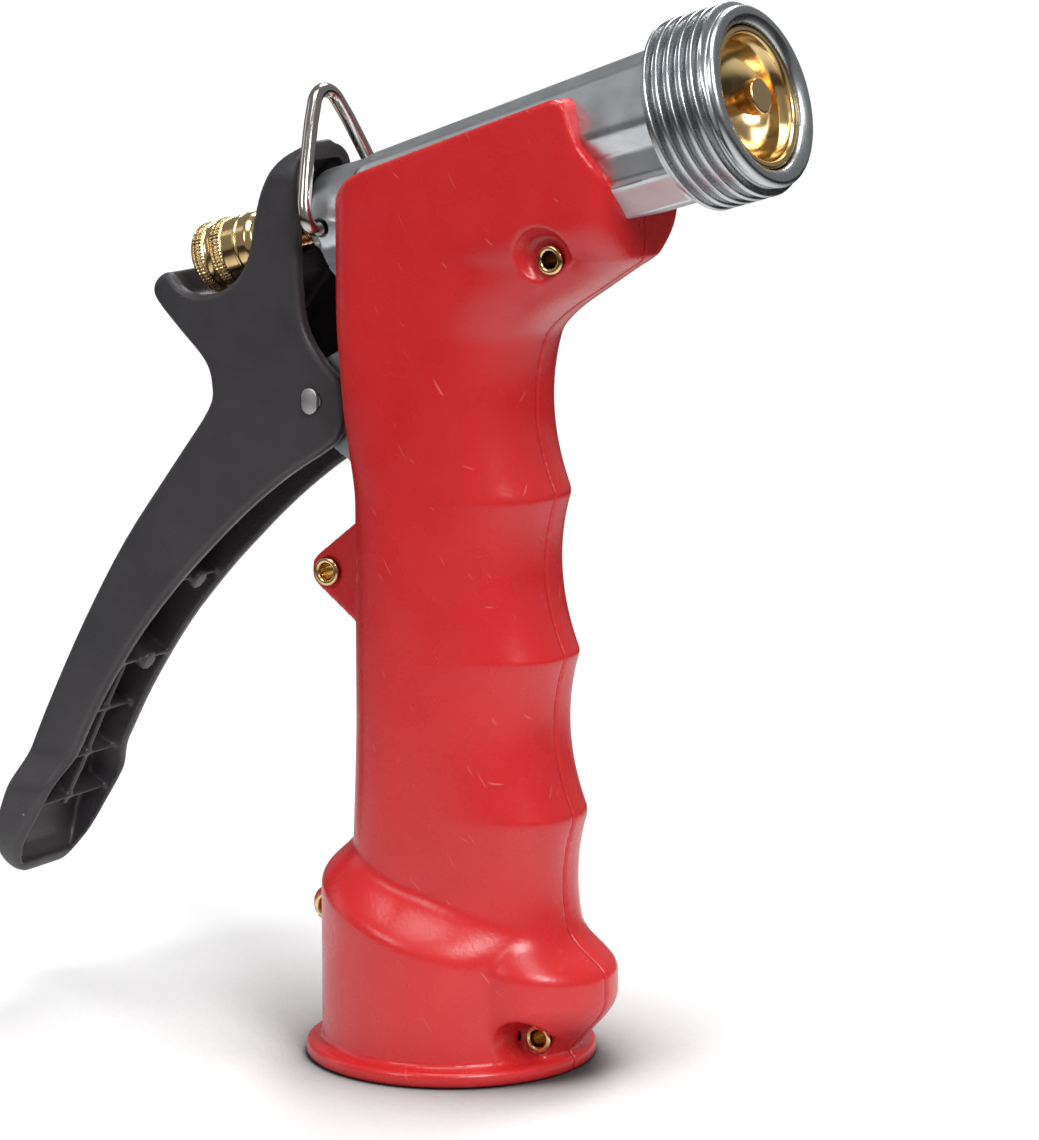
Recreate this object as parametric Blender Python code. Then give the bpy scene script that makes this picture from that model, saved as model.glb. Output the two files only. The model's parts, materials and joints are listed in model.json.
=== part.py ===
"""Insulated pistol-grip spray nozzle, built as an assembly of separate pieces.

Frame: metres, +Z up. The origin is on the face the grip stands on, below the middle of the length.
The plane y = 0 is the symmetry plane, the outlet points towards +X, and the lever is on the -X side.
All dimensions below are in millimetres and are turned into metres where a mesh is made. Their x runs
from the axis of the grip's round foot, and FOOT_AXIS moves the finished pieces into the frame.
"""

import math

import bmesh
import bpy
from mathutils import Matrix, Vector

MM = 0.001
GAP = 0.25
FOOT_AXIS = 10.78

# The barrel axis leans up from the X axis. Stations along it are measured from the point above the foot.
BARREL_TILT = math.radians(17.0)
BARREL_HEIGHT = 122.06
OUTLET_FACE = 51.45
THREAD_START = 39.9
BARREL_REAR = -11.2
NECK_REAR = -18.9

# Outlet: a 3/4 inch parallel pipe thread, 26.44 mm over the crests with a pitch of 1.814 mm.
THREAD_RADIUS = 13.22
THREAD_ROOT = 12.06
THREAD_PITCH = 1.814
THREAD_CRESTS = 6
FIRST_CREST_BACK = 1.8
RIM_RADIUS = 12.4
OUTLET_BORE = 9.92

# Faceted barrel and its inner bores.
BARREL_BOTTOM = 11.0
BARREL_TOP_FRONT = 10.1
BARREL_TOP_REAR = 7.3
BARREL_SIDE_FRONT = 10.7
BARREL_SIDE_REAR = 8.4
NECK_RADIUS = 7.3
VALVE_BORE = 7.4
SPRING_BORE = 5.4
PACKING_BORE = 4.0
STEM_RADIUS = 2.0
STEM_HOLE = 2.2

# Handle tube of the casting and the inlet socket at its foot.
TUBE_RADIUS = 9.2
WATERWAY_RADIUS = 6.0
SOCKET_RADIUS = 15.2
SOCKET_HEIGHT = 14.0
SOCKET_BORE = 12.2
SOCKET_DEPTH = 14.0
SOCKET_LIFT = 0.6

# Grip shells.
FOOT_RADIUS = 20.5
FOOT_THICKNESS = 2.3
SKIRT_RADIUS = 18.2
HANDLE_HALF_WIDTH = 12.3
FINGER_PITCH = 22.4
FINGER_FIRST_CREST = 36.0
FINGER_DEPTH = 2.4
HEAD_FRONT = 31.2
HEAD_TOP_LINE = 5.9

# Rivets: (x, height, half length over the shells, pocket radius or 0 for none).
RIVET_HEAD = 2.05
RIVET_SHANK = 1.55
RIVET_HOLE = 1.2
RIVET_HEAD_THICKNESS = 0.5
RIVETS = {
    "rivet_head": (21.8, 114.5, 8.9, 3.6),
    "rivet_back": (-18.3, 67.5, 3.1, 0.0),
    "rivet_foot_back": (-18.6, 19.3, 3.1, 2.5),
    "rivet_foot_front": (17.6, 5.5, 4.9, 3.0),
}

# Lever and its pin.
PIVOT = (-18.0, 92.1)
PIN_RADIUS = 1.3
LEVER_HALF_WIDTH = 7.3
LEVER_WALL = 2.0
PADDLE_HALF_WIDTH = 10.6
PADDLE_START = 38.0
PADDLE_ROUNDING = 27.0
HOOD_SPRING = 122.5
HOOD_ARCH = 4.5
LUG_HALF_WIDTH = 4.8
PUSH_STATION = -26.0
PUSH_RADIUS = 3.5

# Stem, valve and flow nut stations along the barrel axis.
STEM_FRONT = 33.0
STEM_REAR = -41.0
COLLAR_STATION = 12.4
SPRING_REAR = -8.6
SPRING_TURNS = 7
SPRING_COIL_RADIUS = 3.9
SPRING_WIRE_RADIUS = 0.55
NUT_FRONT = -30.9
NUT_REAR = -42.8
NUT_RADIUS = 5.0

# Wire bail.
BAIL_HINGE = (-16.5, 116.3)
BAIL_WIRE = 1.0
BAIL_LENGTH = 18.75
BAIL_LEAN = math.radians(12.6)
BAIL_HOLE = 1.35


# ---------------------------------------------------------------- scene and materials

def clear_scene():
    """Remove every object that is in the scene."""
    for item in list(bpy.data.objects):
        bpy.data.objects.remove(item, do_unlink=True)


def make_material(name, colour, roughness, metallic):
    """A plain Principled material."""
    material = bpy.data.materials.new(name)
    material.use_nodes = True
    shader = material.node_tree.nodes["Principled BSDF"]
    shader.inputs["Base Color"].default_value = (*colour, 1.0)
    shader.inputs["Roughness"].default_value = roughness
    shader.inputs["Metallic"].default_value = metallic
    material.diffuse_color = (*colour, 1.0)
    return material


def red_plastic():
    return make_material("red_plastic", (0.58, 0.030, 0.032), 0.35, 0.0)


def black_nylon():
    return make_material("black_nylon", (0.035, 0.032, 0.034), 0.42, 0.0)


def cast_zinc():
    return make_material("cast_zinc", (0.46, 0.49, 0.52), 0.3, 1.0)


def brass():
    return make_material("brass", (0.80, 0.58, 0.24), 0.25, 1.0)


def nickel_wire():
    return make_material("nickel_wire", (0.62, 0.58, 0.54), 0.2, 1.0)


def grey_steel():
    return make_material("grey_steel", (0.42, 0.43, 0.44), 0.4, 1.0)


def black_rubber():
    return make_material("black_rubber", (0.02, 0.02, 0.02), 0.8, 0.0)


# ---------------------------------------------------------------- mesh helpers

def link_mesh(name, mesh_edit, material):
    """Turn an edited mesh into a scene object with smooth shading between soft edges."""
    bmesh.ops.recalc_face_normals(mesh_edit, faces=mesh_edit.faces)
    mesh = bpy.data.meshes.new(name)
    mesh_edit.to_mesh(mesh)
    mesh_edit.free()
    mesh.shade_smooth()
    mesh.set_sharp_from_angle(angle=math.radians(35.0))
    item = bpy.data.objects.new(name, mesh)
    bpy.context.scene.collection.objects.link(item)
    if material:
        mesh.materials.append(material)
    return item


def add_empty(name, location, rotation=(0.0, 0.0, 0.0)):
    """An empty that carries a placement."""
    item = bpy.data.objects.new(name, None)
    bpy.context.scene.collection.objects.link(item)
    item.location = location
    item.rotation_euler = rotation
    return item


def attach(item, parent):
    """Parent an object so that its own coordinates are the parent's."""
    item.parent = parent
    item.matrix_parent_inverse = Matrix.Identity(4)


def set_origin(item, point):
    """Move an object's origin to a point given in millimetres, leaving its surface in place."""
    offset = Vector(point) * MM
    item.data.transform(Matrix.Translation(-offset))
    item.location = offset


def lathe(name, profile, material, steps=24, first_angle=0.0):
    """Turn a (radius, height) outline about the local Z axis.

    An outline that starts and ends on the axis is left open there; any other outline is closed.
    """
    mesh_edit = bmesh.new()
    across, along = math.cos(first_angle), math.sin(first_angle)
    points = []
    for radius, height in profile:
        points.append(mesh_edit.verts.new((radius * across * MM, radius * along * MM, height * MM)))
    edges = [mesh_edit.edges.new(pair) for pair in zip(points, points[1:])]
    if profile[0][0] > 0.0:
        edges.append(mesh_edit.edges.new((points[-1], points[0])))
    bmesh.ops.spin(
        mesh_edit, geom=points + edges, cent=(0, 0, 0), axis=(0, 0, 1),
        angle=math.tau, steps=steps, use_merge=True)
    bmesh.ops.remove_doubles(mesh_edit, verts=mesh_edit.verts, dist=1e-6)
    return link_mesh(name, mesh_edit, material)


def ring_profile(inner, outer, low, high):
    """Outline of a plain washer or tube."""
    return [(inner, low), (outer, low), (outer, high), (inner, high)]


def prism(name, outline, half_width, material=None, levels=()):
    """Extrude an (x, z) outline over both sides of y = 0.

    half_width is a number, or a function that gives the half width at a height. The sides then get
    extra points at the heights in levels, so that they follow that function.
    """
    mesh_edit = bmesh.new()
    face = mesh_edit.faces.new([mesh_edit.verts.new((x * MM, -MM, z * MM)) for x, z in outline])
    extruded = bmesh.ops.extrude_face_region(mesh_edit, geom=[face])
    for vertex in extruded["geom"]:
        if isinstance(vertex, bmesh.types.BMVert):
            vertex.co.y = MM
    for level in levels:
        everything = list(mesh_edit.verts) + list(mesh_edit.edges) + list(mesh_edit.faces)
        point = (0.0, 0.0, level * MM)
        bmesh.ops.bisect_plane(mesh_edit, geom=everything, dist=1e-7, plane_co=point, plane_no=(0.0, 0.0, 1.0))
    for vertex in mesh_edit.verts:
        width = half_width(vertex.co.z / MM) if callable(half_width) else half_width
        vertex.co.y = math.copysign(width * MM, vertex.co.y)
    bmesh.ops.triangulate(mesh_edit, faces=[f for f in mesh_edit.faces if len(f.verts) > 4])
    return link_mesh(name, mesh_edit, material)


def loft(name, rings, material=None):
    """Skin a stack of closed rings of points, in millimetres, and cap both ends."""
    mesh_edit = bmesh.new()
    rows = [[mesh_edit.verts.new(Vector(point) * MM) for point in ring] for ring in rings]
    for lower, upper in zip(rows, rows[1:]):
        count = len(lower)
        for i in range(count):
            j = (i + 1) % count
            mesh_edit.faces.new((lower[i], lower[j], upper[j], upper[i]))
    mesh_edit.faces.new(rows[0])
    mesh_edit.faces.new(rows[-1])
    return link_mesh(name, mesh_edit, material)


def wire(name, path, radius, material, sides=8):
    """A round wire along a path of points in millimetres, closed at both ends."""
    points = [Vector(point) for point in path]
    tangent = (points[1] - points[0]).normalized()
    normal = tangent.orthogonal().normalized()
    rings = []
    for index, point in enumerate(points):
        before = points[max(index - 1, 0)]
        after = points[min(index + 1, len(points) - 1)]
        tangent = (after - before).normalized()
        normal = (normal - tangent * normal.dot(tangent)).normalized()
        binormal = tangent.cross(normal)
        ring = []
        for side in range(sides):
            angle = math.tau * side / sides
            ring.append(point + (normal * math.cos(angle) + binormal * math.sin(angle)) * radius)
        rings.append(ring)
    return loft(name, rings, material)


def cylinder_along_y(name, x, z, radius, low, high, steps=24):
    """A plain cylinder between two y values."""
    item = lathe(name, [(0.0, low), (radius, low), (radius, high), (0.0, high)], None, steps, 0.06)
    item.data.transform(Matrix.Rotation(math.radians(-90.0), 4, "X"))
    item.data.transform(Matrix.Translation(Vector((x, 0.0, z)) * MM))
    return item


def make_cutter(item):
    """Mark an object as construction geometry."""
    item.hide_render = True
    item.display_type = "WIRE"
    return item


def boolean(target, tool, operation):
    """Leave an exact Boolean on the target and mark its tool as construction geometry."""
    make_cutter(tool)
    modifier = target.modifiers.new(operation.lower() + "_" + tool.name, "BOOLEAN")
    modifier.operation = operation
    modifier.solver = "EXACT"
    modifier.object = tool


def arc(centre, radius, start, end, steps):
    """Points on a circular arc in the (x, z) plane, angles in degrees."""
    points = []
    for i in range(steps + 1):
        angle = math.radians(start + (end - start) * i / steps)
        points.append((centre[0] + radius * math.cos(angle), centre[1] + radius * math.sin(angle)))
    return points


def on_barrel(station, lift):
    """The (x, z) point at a station along the barrel axis and a height above it."""
    x = station * math.cos(BARREL_TILT) - lift * math.sin(BARREL_TILT)
    z = BARREL_HEIGHT + station * math.sin(BARREL_TILT) + lift * math.cos(BARREL_TILT)
    return (x, z)


def smoothstep(value):
    """Ease from 0 to 1."""
    value = min(1.0, max(0.0, value))
    return value * value * (3.0 - 2.0 * value)


# ---------------------------------------------------------------- barrel casting

def barrel_half_section(station, grow):
    """Right half of the barrel's faceted section, from the bottom to the top, as (side, lift)."""
    run = (station - BARREL_REAR) / (THREAD_START - BARREL_REAR)
    side = BARREL_SIDE_REAR + (BARREL_SIDE_FRONT - BARREL_SIDE_REAR) * run + grow
    top = BARREL_TOP_REAR + (BARREL_TOP_FRONT - BARREL_TOP_REAR) * run + grow
    bottom = BARREL_BOTTOM + grow
    return [
        (0.46 * side, -bottom),
        (0.90 * side, -0.48 * bottom),
        (0.94 * side, -0.9),
        (side, 0.0),
        (side, 0.13 * top),
        (0.72 * side, 0.80 * top),
        (0.34 * side, top),
    ]


def barrel_ring(station, grow):
    """One closed ring of the barrel, in the barrel's own frame (local X points down)."""
    right = barrel_half_section(station, grow)
    ring = [(-lift, side, station) for side, lift in right]
    return ring + [(-lift, -side, station) for side, lift in reversed(right)]


def barrel_body(name, rear, front, grow=0.0):
    """The faceted barrel between two stations."""
    rings = [barrel_ring(rear + step * (front - rear), grow) for step in (0.0, 0.5, 1.0)]
    return loft(name, rings)


def outlet_plug_profile():
    """Outline of the rim and the outlet thread, front to rear, as a solid that the bore then cuts."""
    points = [
        (0.0, OUTLET_FACE), (RIM_RADIUS - 0.6, OUTLET_FACE), (RIM_RADIUS, OUTLET_FACE - 0.5),
        (THREAD_ROOT, OUTLET_FACE - 0.9),
    ]
    for index in range(THREAD_CRESTS):
        crest = OUTLET_FACE - FIRST_CREST_BACK - index * THREAD_PITCH
        points += [(THREAD_RADIUS, crest + 0.25), (THREAD_RADIUS, crest - 0.25)]
        points.append((THREAD_ROOT, crest - 0.5 * THREAD_PITCH))
    return points + [(THREAD_ROOT, THREAD_START), (0.0, THREAD_START)]


def barrel_bore_profile():
    """Outline of the stepped bore, rear to front."""
    return [
        (0.0, NECK_REAR - 2.0), (PACKING_BORE, NECK_REAR - 2.0), (PACKING_BORE, -12.4),
        (STEM_HOLE + 0.1, -12.4), (STEM_HOLE + 0.1, -9.0), (SPRING_BORE, -9.0), (SPRING_BORE, 26.0),
        (VALVE_BORE, 28.0), (VALVE_BORE, 37.0), (OUTLET_BORE, 37.0),
        (OUTLET_BORE, OUTLET_FACE - 0.8), (OUTLET_BORE + 1.3, OUTLET_FACE + 0.5), (0.0, OUTLET_FACE + 0.5),
    ]


def neck_profile():
    """Outline of the round neck behind the barrel."""
    return [
        (0.0, NECK_REAR), (NECK_RADIUS - 1.0, NECK_REAR), (NECK_RADIUS - 0.3, NECK_REAR + 0.3),
        (NECK_RADIUS, NECK_REAR + 1.0), (NECK_RADIUS, BARREL_REAR + 2.0), (0.0, BARREL_REAR + 2.0),
    ]


def tube_profile():
    """Outline of the handle tube and inlet socket, as a solid."""
    return [
        (0.0, SOCKET_LIFT), (SOCKET_RADIUS, SOCKET_LIFT), (SOCKET_RADIUS, SOCKET_HEIGHT),
        (TUBE_RADIUS, SOCKET_HEIGHT + 9.0), (TUBE_RADIUS, 116.0), (0.0, 116.0),
    ]


def waterway_profile():
    """Outline of the inlet bore and the waterway up the handle."""
    return [
        (0.0, SOCKET_LIFT - 2.0), (SOCKET_BORE, SOCKET_LIFT - 2.0), (SOCKET_BORE, SOCKET_DEPTH),
        (WATERWAY_RADIUS, SOCKET_DEPTH), (WATERWAY_RADIUS - 1.2, 119.0), (0.0, 119.0),
    ]


def lug_outline():
    """Side outline of the lever's hinge lug."""
    round_end = arc(PIVOT, 5.0, 100.0, 250.0, 8)
    return round_end + [(-13.0, 83.4), (-4.0, 83.4), (-4.0, 101.0), (-12.0, 101.0)]


def gusset_outline():
    """Side outline of the web that carries the neck."""
    return [
        (-17.4, 113.6), (-15.6, 110.6), (-12.0, 107.2), (-8.0, 104.0), (-3.0, 104.0),
        (-3.0, 117.0), (-12.0, 117.0),
    ]


def build_casting(material, barrel_axis):
    """The one-piece body: handle tube, barrel, threaded outlet, neck and hinge lug."""
    casting = lathe("body_casting", tube_profile(), material)
    barrel = barrel_body("casting_barrel", BARREL_REAR, THREAD_START + 1.2)
    outlet = lathe("casting_outlet", outlet_plug_profile(), None, steps=24, first_angle=0.07)
    neck = lathe("casting_neck", neck_profile(), None, first_angle=0.11)
    bore = lathe("casting_bore", barrel_bore_profile(), None, steps=24, first_angle=0.03)
    for item in (barrel, outlet, neck, bore):
        attach(item, barrel_axis)
    lug = prism("casting_lug", lug_outline(), LUG_HALF_WIDTH)
    gusset = prism("casting_gusset", gusset_outline(), 6.4)
    for tool in (barrel, outlet, neck, gusset, lug):
        boolean(casting, tool, "UNION")
    waterway = lathe("casting_waterway", waterway_profile(), None)
    pin_hole = cylinder_along_y("casting_pin_hole", *PIVOT, PIN_RADIUS + 0.1, -9.0, 9.0)
    for tool in (bore, waterway, pin_hole):
        boolean(casting, tool, "DIFFERENCE")
    for side, low, high in (("right", -9.0, -5.4), ("left", 5.4, 9.0)):
        hole = cylinder_along_y("casting_bail_hole_" + side, *BAIL_HINGE, BAIL_HOLE, low, high, 16)
        boolean(casting, hole, "DIFFERENCE")
    return casting


# ---------------------------------------------------------------- grip shells

def handle_front(height):
    """Front of the handle in the symmetry plane, with its finger scallops."""
    crest_line = 17.3 + (80.8 - height) * 0.067
    if height <= FINGER_FIRST_CREST + 3.0 * FINGER_PITCH:
        phase = (height - FINGER_FIRST_CREST) / FINGER_PITCH
        along = 2.0 * (phase - math.floor(phase)) - 1.0
        return crest_line - FINGER_DEPTH * (1.0 - along * along)
    start = FINGER_FIRST_CREST + 3.0 * FINGER_PITCH
    rise = smoothstep((height - start) / 7.0) * 0.5 + 0.5 * min(1.0, (height - start) / 12.0)
    under_nose = 15.8 + (height - start) * 1.42 * (0.62 + 0.38 * rise)
    return min(HEAD_FRONT, under_nose)


def handle_rear(height):
    """Distance from the handle's axis to its back face."""
    return 12.4 + 0.8 * smoothstep((50.0 - height) / 25.0) + 0.4 * smoothstep((height - 95.0) / 12.0)


def handle_point(height, angle):
    """A point of the handle's rounded section."""
    rear_power = 2.5 + 3.5 * smoothstep((height - 78.0) / 26.0)
    front_power = 2.5 + 5.0 * smoothstep((height - 113.0) / 8.0)
    power = front_power if math.cos(angle) > 0.0 else rear_power
    reach = handle_front(height) if math.cos(angle) > 0.0 else handle_rear(height)
    along = math.copysign(abs(math.cos(angle)) ** (2.0 / power), math.cos(angle))
    across = math.copysign(abs(math.sin(angle)) ** (2.0 / power), math.sin(angle))
    return (reach * along, HANDLE_HALF_WIDTH * across)


def skirt_point(height, angle):
    """A point of the round skirt, with the toe that bulges towards the front."""
    toe_radius = 12.0
    swell = smoothstep(height / 11.0) * smoothstep((26.0 - height) / 12.0)
    toe_centre = SKIRT_RADIUS - toe_radius + 7.2 * swell
    radius = SKIRT_RADIUS
    under_root = toe_radius ** 2 - (toe_centre * math.sin(angle)) ** 2
    if math.cos(angle) > 0.0 and under_root > 0.0:
        radius = max(radius, toe_centre * math.cos(angle) + math.sqrt(under_root))
    return (radius * math.cos(angle), radius * math.sin(angle))


def grip_ring(height, count=28):
    """One closed ring of the grip's outer surface."""
    ring = []
    for index in range(count):
        angle = math.tau * (index + 0.5) / count
        shoulder = 19.6 - 5.9 * math.cos(angle)
        blend = smoothstep((height - shoulder) / 6.5)
        low = skirt_point(height, angle)
        high = handle_point(height, angle)
        ring.append((
            low[0] + (high[0] - low[0]) * blend,
            low[1] + (high[1] - low[1]) * blend,
            height,
        ))
    return ring


def foot_ring(height, radius, count=28):
    """A plain round ring of the foot flange."""
    angles = [math.tau * (index + 0.5) / count for index in range(count)]
    return [(radius * math.cos(a), radius * math.sin(a), height) for a in angles]


def grip_blank(name, material):
    """The outer form of both grip shells together."""
    rings = [
        foot_ring(0.0, FOOT_RADIUS - 0.4), foot_ring(0.4, FOOT_RADIUS),
        foot_ring(FOOT_THICKNESS - 0.4, FOOT_RADIUS), foot_ring(FOOT_THICKNESS, FOOT_RADIUS - 0.4),
    ]
    heights = [FOOT_THICKNESS + 0.2 + 3.05 * step for step in range(11)]
    steps_per_finger = 5
    for step in range(1, 3 * steps_per_finger + 1):
        heights.append(FINGER_FIRST_CREST + step * FINGER_PITCH / steps_per_finger)
    heights += [105.5, 108.0, 111.0, 114.0, 117.0, 119.0, 124.0, 141.0]
    rings += [grip_ring(height) for height in heights]
    return loft(name, rings, material)


def head_cut_outline():
    """Everything above the grip's head: over its top edge and in front of its side walls."""
    top_corner = arc(on_barrel(-5.36, -4.2), 9.0, 180.0, 107.0, 8)
    front_corner = arc(on_barrel(26.2, HEAD_TOP_LINE - 1.2), 1.9, 107.0, 0.0, 5)
    return (
        [(-40.0, 116.5), (-20.0, 116.5)] + top_corner + front_corner
        + [(27.3, 130.0), (31.5, 124.6), (34.0, 120.6), (60.0, 120.6), (60.0, 160.0), (-40.0, 160.0)]
    )


def tab_outline(centre, radius, top_root, bottom_root):
    """Side outline of a rivet tab on the back of the grip."""
    return [top_root] + arc(centre, radius, 125.0, 235.0, 6) + [bottom_root]


def grip_cavity(name):
    """The room that the casting's tube and socket need, with a gap all round."""
    profile = [
        (0.0, -2.0), (SOCKET_RADIUS + GAP, -2.0), (SOCKET_RADIUS + GAP, SOCKET_HEIGHT + GAP),
        (TUBE_RADIUS + GAP, SOCKET_HEIGHT + 9.0), (TUBE_RADIUS + GAP, 119.0), (0.0, 119.0),
    ]
    return lathe(name, profile, None)


def build_grip(side, material, barrel_axis):
    """One half of the two-part grip: side is -1 for the right shell and +1 for the left one."""
    label = "right" if side < 0 else "left"
    shell = grip_blank("grip_" + label, material)
    tabs = (
        ("back", tab_outline((-18.3, 67.5), 2.9, (-9.8, 78.0), (-9.8, 57.5))),
        ("foot", tab_outline((-18.6, 19.3), 2.8, (-10.0, 26.5), (-12.0, 12.0))),
    )
    for tab_label, outline in tabs:
        boolean(shell, prism("grip_tab_" + tab_label + "_" + label, outline, 3.0), "UNION")
    low, high = sorted((side * 0.05, side * 60.0))
    half = bmesh.new()
    bmesh.ops.create_cube(half, size=1.0)
    half.transform(Matrix.Diagonal(Vector((200.0, high - low, 400.0, 1000.0)) * MM))
    half.transform(Matrix.Translation(Vector((0.0, 0.5 * (low + high), 60.0)) * MM))
    boolean(shell, link_mesh("grip_half_" + label, half, None), "INTERSECT")
    cutters = [
        grip_cavity("grip_cavity_" + label),
        prism("grip_top_cut_" + label, head_cut_outline(), 40.0),
        prism("grip_lug_slot_" + label, inflate(lug_outline(), PIVOT, 0.5), LUG_HALF_WIDTH + GAP),
        prism("grip_lever_relief_" + label, [(-22, 104), (-22, 81.3), (-11.9, 81.3), (-11.9, 104)], 8.0),
        prism("grip_gusset_slot_" + label, inflate(gusset_outline(), (-9.0, 111.0), 0.5), 6.4 + GAP),
    ]
    barrel = barrel_body("grip_barrel_cut_" + label, BARREL_REAR - 14.0, THREAD_START + 6.0, GAP)
    attach(barrel, barrel_axis)
    cutters.append(barrel)
    for rivet, (x, height, half_length, pocket) in RIVETS.items():
        name = "grip_" + rivet + "_hole_" + label
        cutters.append(cylinder_along_y(name, x, height, RIVET_SHANK + GAP, -30.0, 30.0, 20))
        if pocket:
            low, high = sorted((side * half_length, side * 28.0))
            name = "grip_" + rivet + "_pocket_" + label
            cutters.append(cylinder_along_y(name, x, height, pocket, low, high, 24))
    for tool in cutters:
        boolean(shell, tool, "DIFFERENCE")
    return shell


def inflate(outline, centre, amount):
    """Push an outline's points away from a centre by a fixed amount."""
    grown = []
    for x, z in outline:
        direction = Vector((x - centre[0], z - centre[1]))
        direction.normalize()
        grown.append((x + direction.x * amount, z + direction.y * amount))
    return grown


# ---------------------------------------------------------------- rivets and pin

def build_rivet(name, material):
    """A tubular rivet with a rolled head at both ends, across the grip."""
    x, height, half_length, _pocket = RIVETS[name]
    under = half_length + 0.15
    over = under + RIVET_HEAD_THICKNESS
    profile = [
        (RIVET_HOLE, -over), (RIVET_HEAD - 0.3, -over), (RIVET_HEAD, -under), (RIVET_SHANK, -under),
        (RIVET_SHANK, under), (RIVET_HEAD, under), (RIVET_HEAD - 0.3, over), (RIVET_HOLE, over),
    ]
    rivet = lathe(name, profile, material, steps=12)
    rivet.rotation_euler = (math.radians(-90.0), 0.0, 0.0)
    rivet.location = Vector((x, 0.0, height)) * MM
    return rivet


def build_pin(material):
    """The lever's hinge pin with its peened ends."""
    under = LEVER_HALF_WIDTH + 0.15
    profile = [
        (0.0, -under - 0.7), (PIN_RADIUS, -under - 0.7), (PIN_RADIUS + 0.45, -under - 0.35),
        (PIN_RADIUS + 0.45, -under), (PIN_RADIUS, -under), (PIN_RADIUS, under),
        (PIN_RADIUS + 0.45, under), (PIN_RADIUS + 0.45, under + 0.35), (PIN_RADIUS, under + 0.7),
        (0.0, under + 0.7),
    ]
    pin = lathe("lever_pin", profile, material, steps=16)
    pin.rotation_euler = (math.radians(-90.0), 0.0, 0.0)
    pin.location = Vector((PIVOT[0], 0.0, PIVOT[1])) * MM
    return pin


# ---------------------------------------------------------------- lever

LEVER_HOOD = [(-20.6, 127.0), (-22.8, 126.3), (-25.0, 124.0), (-26.8, 120.6), (-27.9, 116.6)]
LEVER_NOTCH = [(-28.9, 111.8), (-31.0, 108.2), (-34.4, 106.1), (-38.0, 105.6), (-40.6, 106.5)]
LEVER_HORN = [(-42.6, 108.4), (-44.5, 107.5), (-45.2, 105.8), (-44.3, 104.0)]
LEVER_ELBOW = [(-40.6, 100.3), (-36.6, 96.4), (-35.4, 93.2), (-36.0, 89.6)]
LEVER_BACK = [(-41.8, 81.7), (-50.9, 69.4), (-58.4, 56.9), (-64.9, 44.4), (-69.5, 35.2), (-73.0, 29.0)]
LEVER_TIP = [(-74.2, 24.6), (-73.3, 20.6), (-71.0, 17.9), (-68.2, 18.2)]
LEVER_FRONT = [
    (-66.4, 22.6), (-62.0, 30.4), (-60.4, 37.0), (-55.6, 45.6), (-49.0, 55.4), (-42.2, 63.4),
    (-36.4, 69.3), (-29.6, 75.6), (-22.4, 81.2), (-15.6, 85.6),
]
LEVER_BOSS = [(-13.6, 88.0), (-13.0, 91.0), (-13.6, 94.8), (-16.6, 97.9), (-19.1, 101.4), (-20.2, 106.0)]


def hood_arch(height, spring, rise):
    """How far the hood's side has come in where its top rounds over, from the spring line up."""
    climb = min(1.0, max(0.0, (height - spring) / rise))
    return rise * (1.0 - math.sqrt(1.0 - climb * climb))


def paddle_flare(height):
    """How much wider the lever is at its paddle, which narrows again at its tip."""
    flare = smoothstep((PADDLE_START - height) / 11.0)
    tip = smoothstep((PADDLE_ROUNDING - height) / 10.0)
    return (PADDLE_HALF_WIDTH - LEVER_HALF_WIDTH) * flare - 5.5 * tip


def lever_half_width(height):
    """Half width of the lever."""
    return LEVER_HALF_WIDTH + paddle_flare(height) - hood_arch(height, HOOD_SPRING, HOOD_ARCH)


def channel_half_width(height):
    """Half width of the hollow inside the lever, whose roof is an arch under the hood's."""
    inner_arch = hood_arch(height, HOOD_SPRING, HOOD_ARCH - LEVER_WALL)
    return LEVER_HALF_WIDTH - LEVER_WALL + paddle_flare(height) - inner_arch


def channel_outline():
    """Hollow of the lever: open towards the handle, closed by the hood, the push wall and the back."""
    under_hood = [(-15.0, 125.0), (-22.0, 125.0), (-24.0, 122.9)]
    push_wall = [on_barrel(PUSH_STATION, 6.5), on_barrel(PUSH_STATION, -5.5)]
    behind_pivot = [(-29.5, 101.0), (-34.3, 95.5), (-33.3, 93.0), (-33.9, 89.0)]
    along_back = [(-40.0, 80.5), (-49.0, 68.3), (-56.4, 56.0), (-62.8, 43.6), (-67.4, 34.2), (-70.6, 28.4)]
    round_tip = [(-71.6, 24.8), (-70.8, 21.8), (-66.0, 18.5)]
    return under_hood + push_wall + behind_pivot + along_back + round_tip + [
        (-57.0, 30.0), (-50.0, 47.0), (-36.0, 63.0), (-20.0, 78.0), (-8.0, 84.0), (-8.0, 100.0),
        (-15.0, 106.0)]


def nut_notch_outline():
    """Room for the flow nut behind the push wall, whose face carries the rounded push pads."""
    face = PUSH_STATION - 2.2
    half_chord = math.sqrt(PUSH_RADIUS ** 2 - 2.2 ** 2)
    start = math.degrees(math.asin(half_chord / PUSH_RADIUS))
    pad = []
    for step in range(7):
        angle = math.radians(start - 2.0 * start * step / 6)
        pad.append(on_barrel(PUSH_STATION - PUSH_RADIUS * math.cos(angle), PUSH_RADIUS * math.sin(angle)))
    return (
        [on_barrel(face, 12.0)] + pad + [on_barrel(face, -6.2)]
        + [(-28.0, 104.4), (-39.6, 103.9), (-41.8, 105.0), (-48.0, 118.0), (-40.0, 130.0)]
    )


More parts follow.
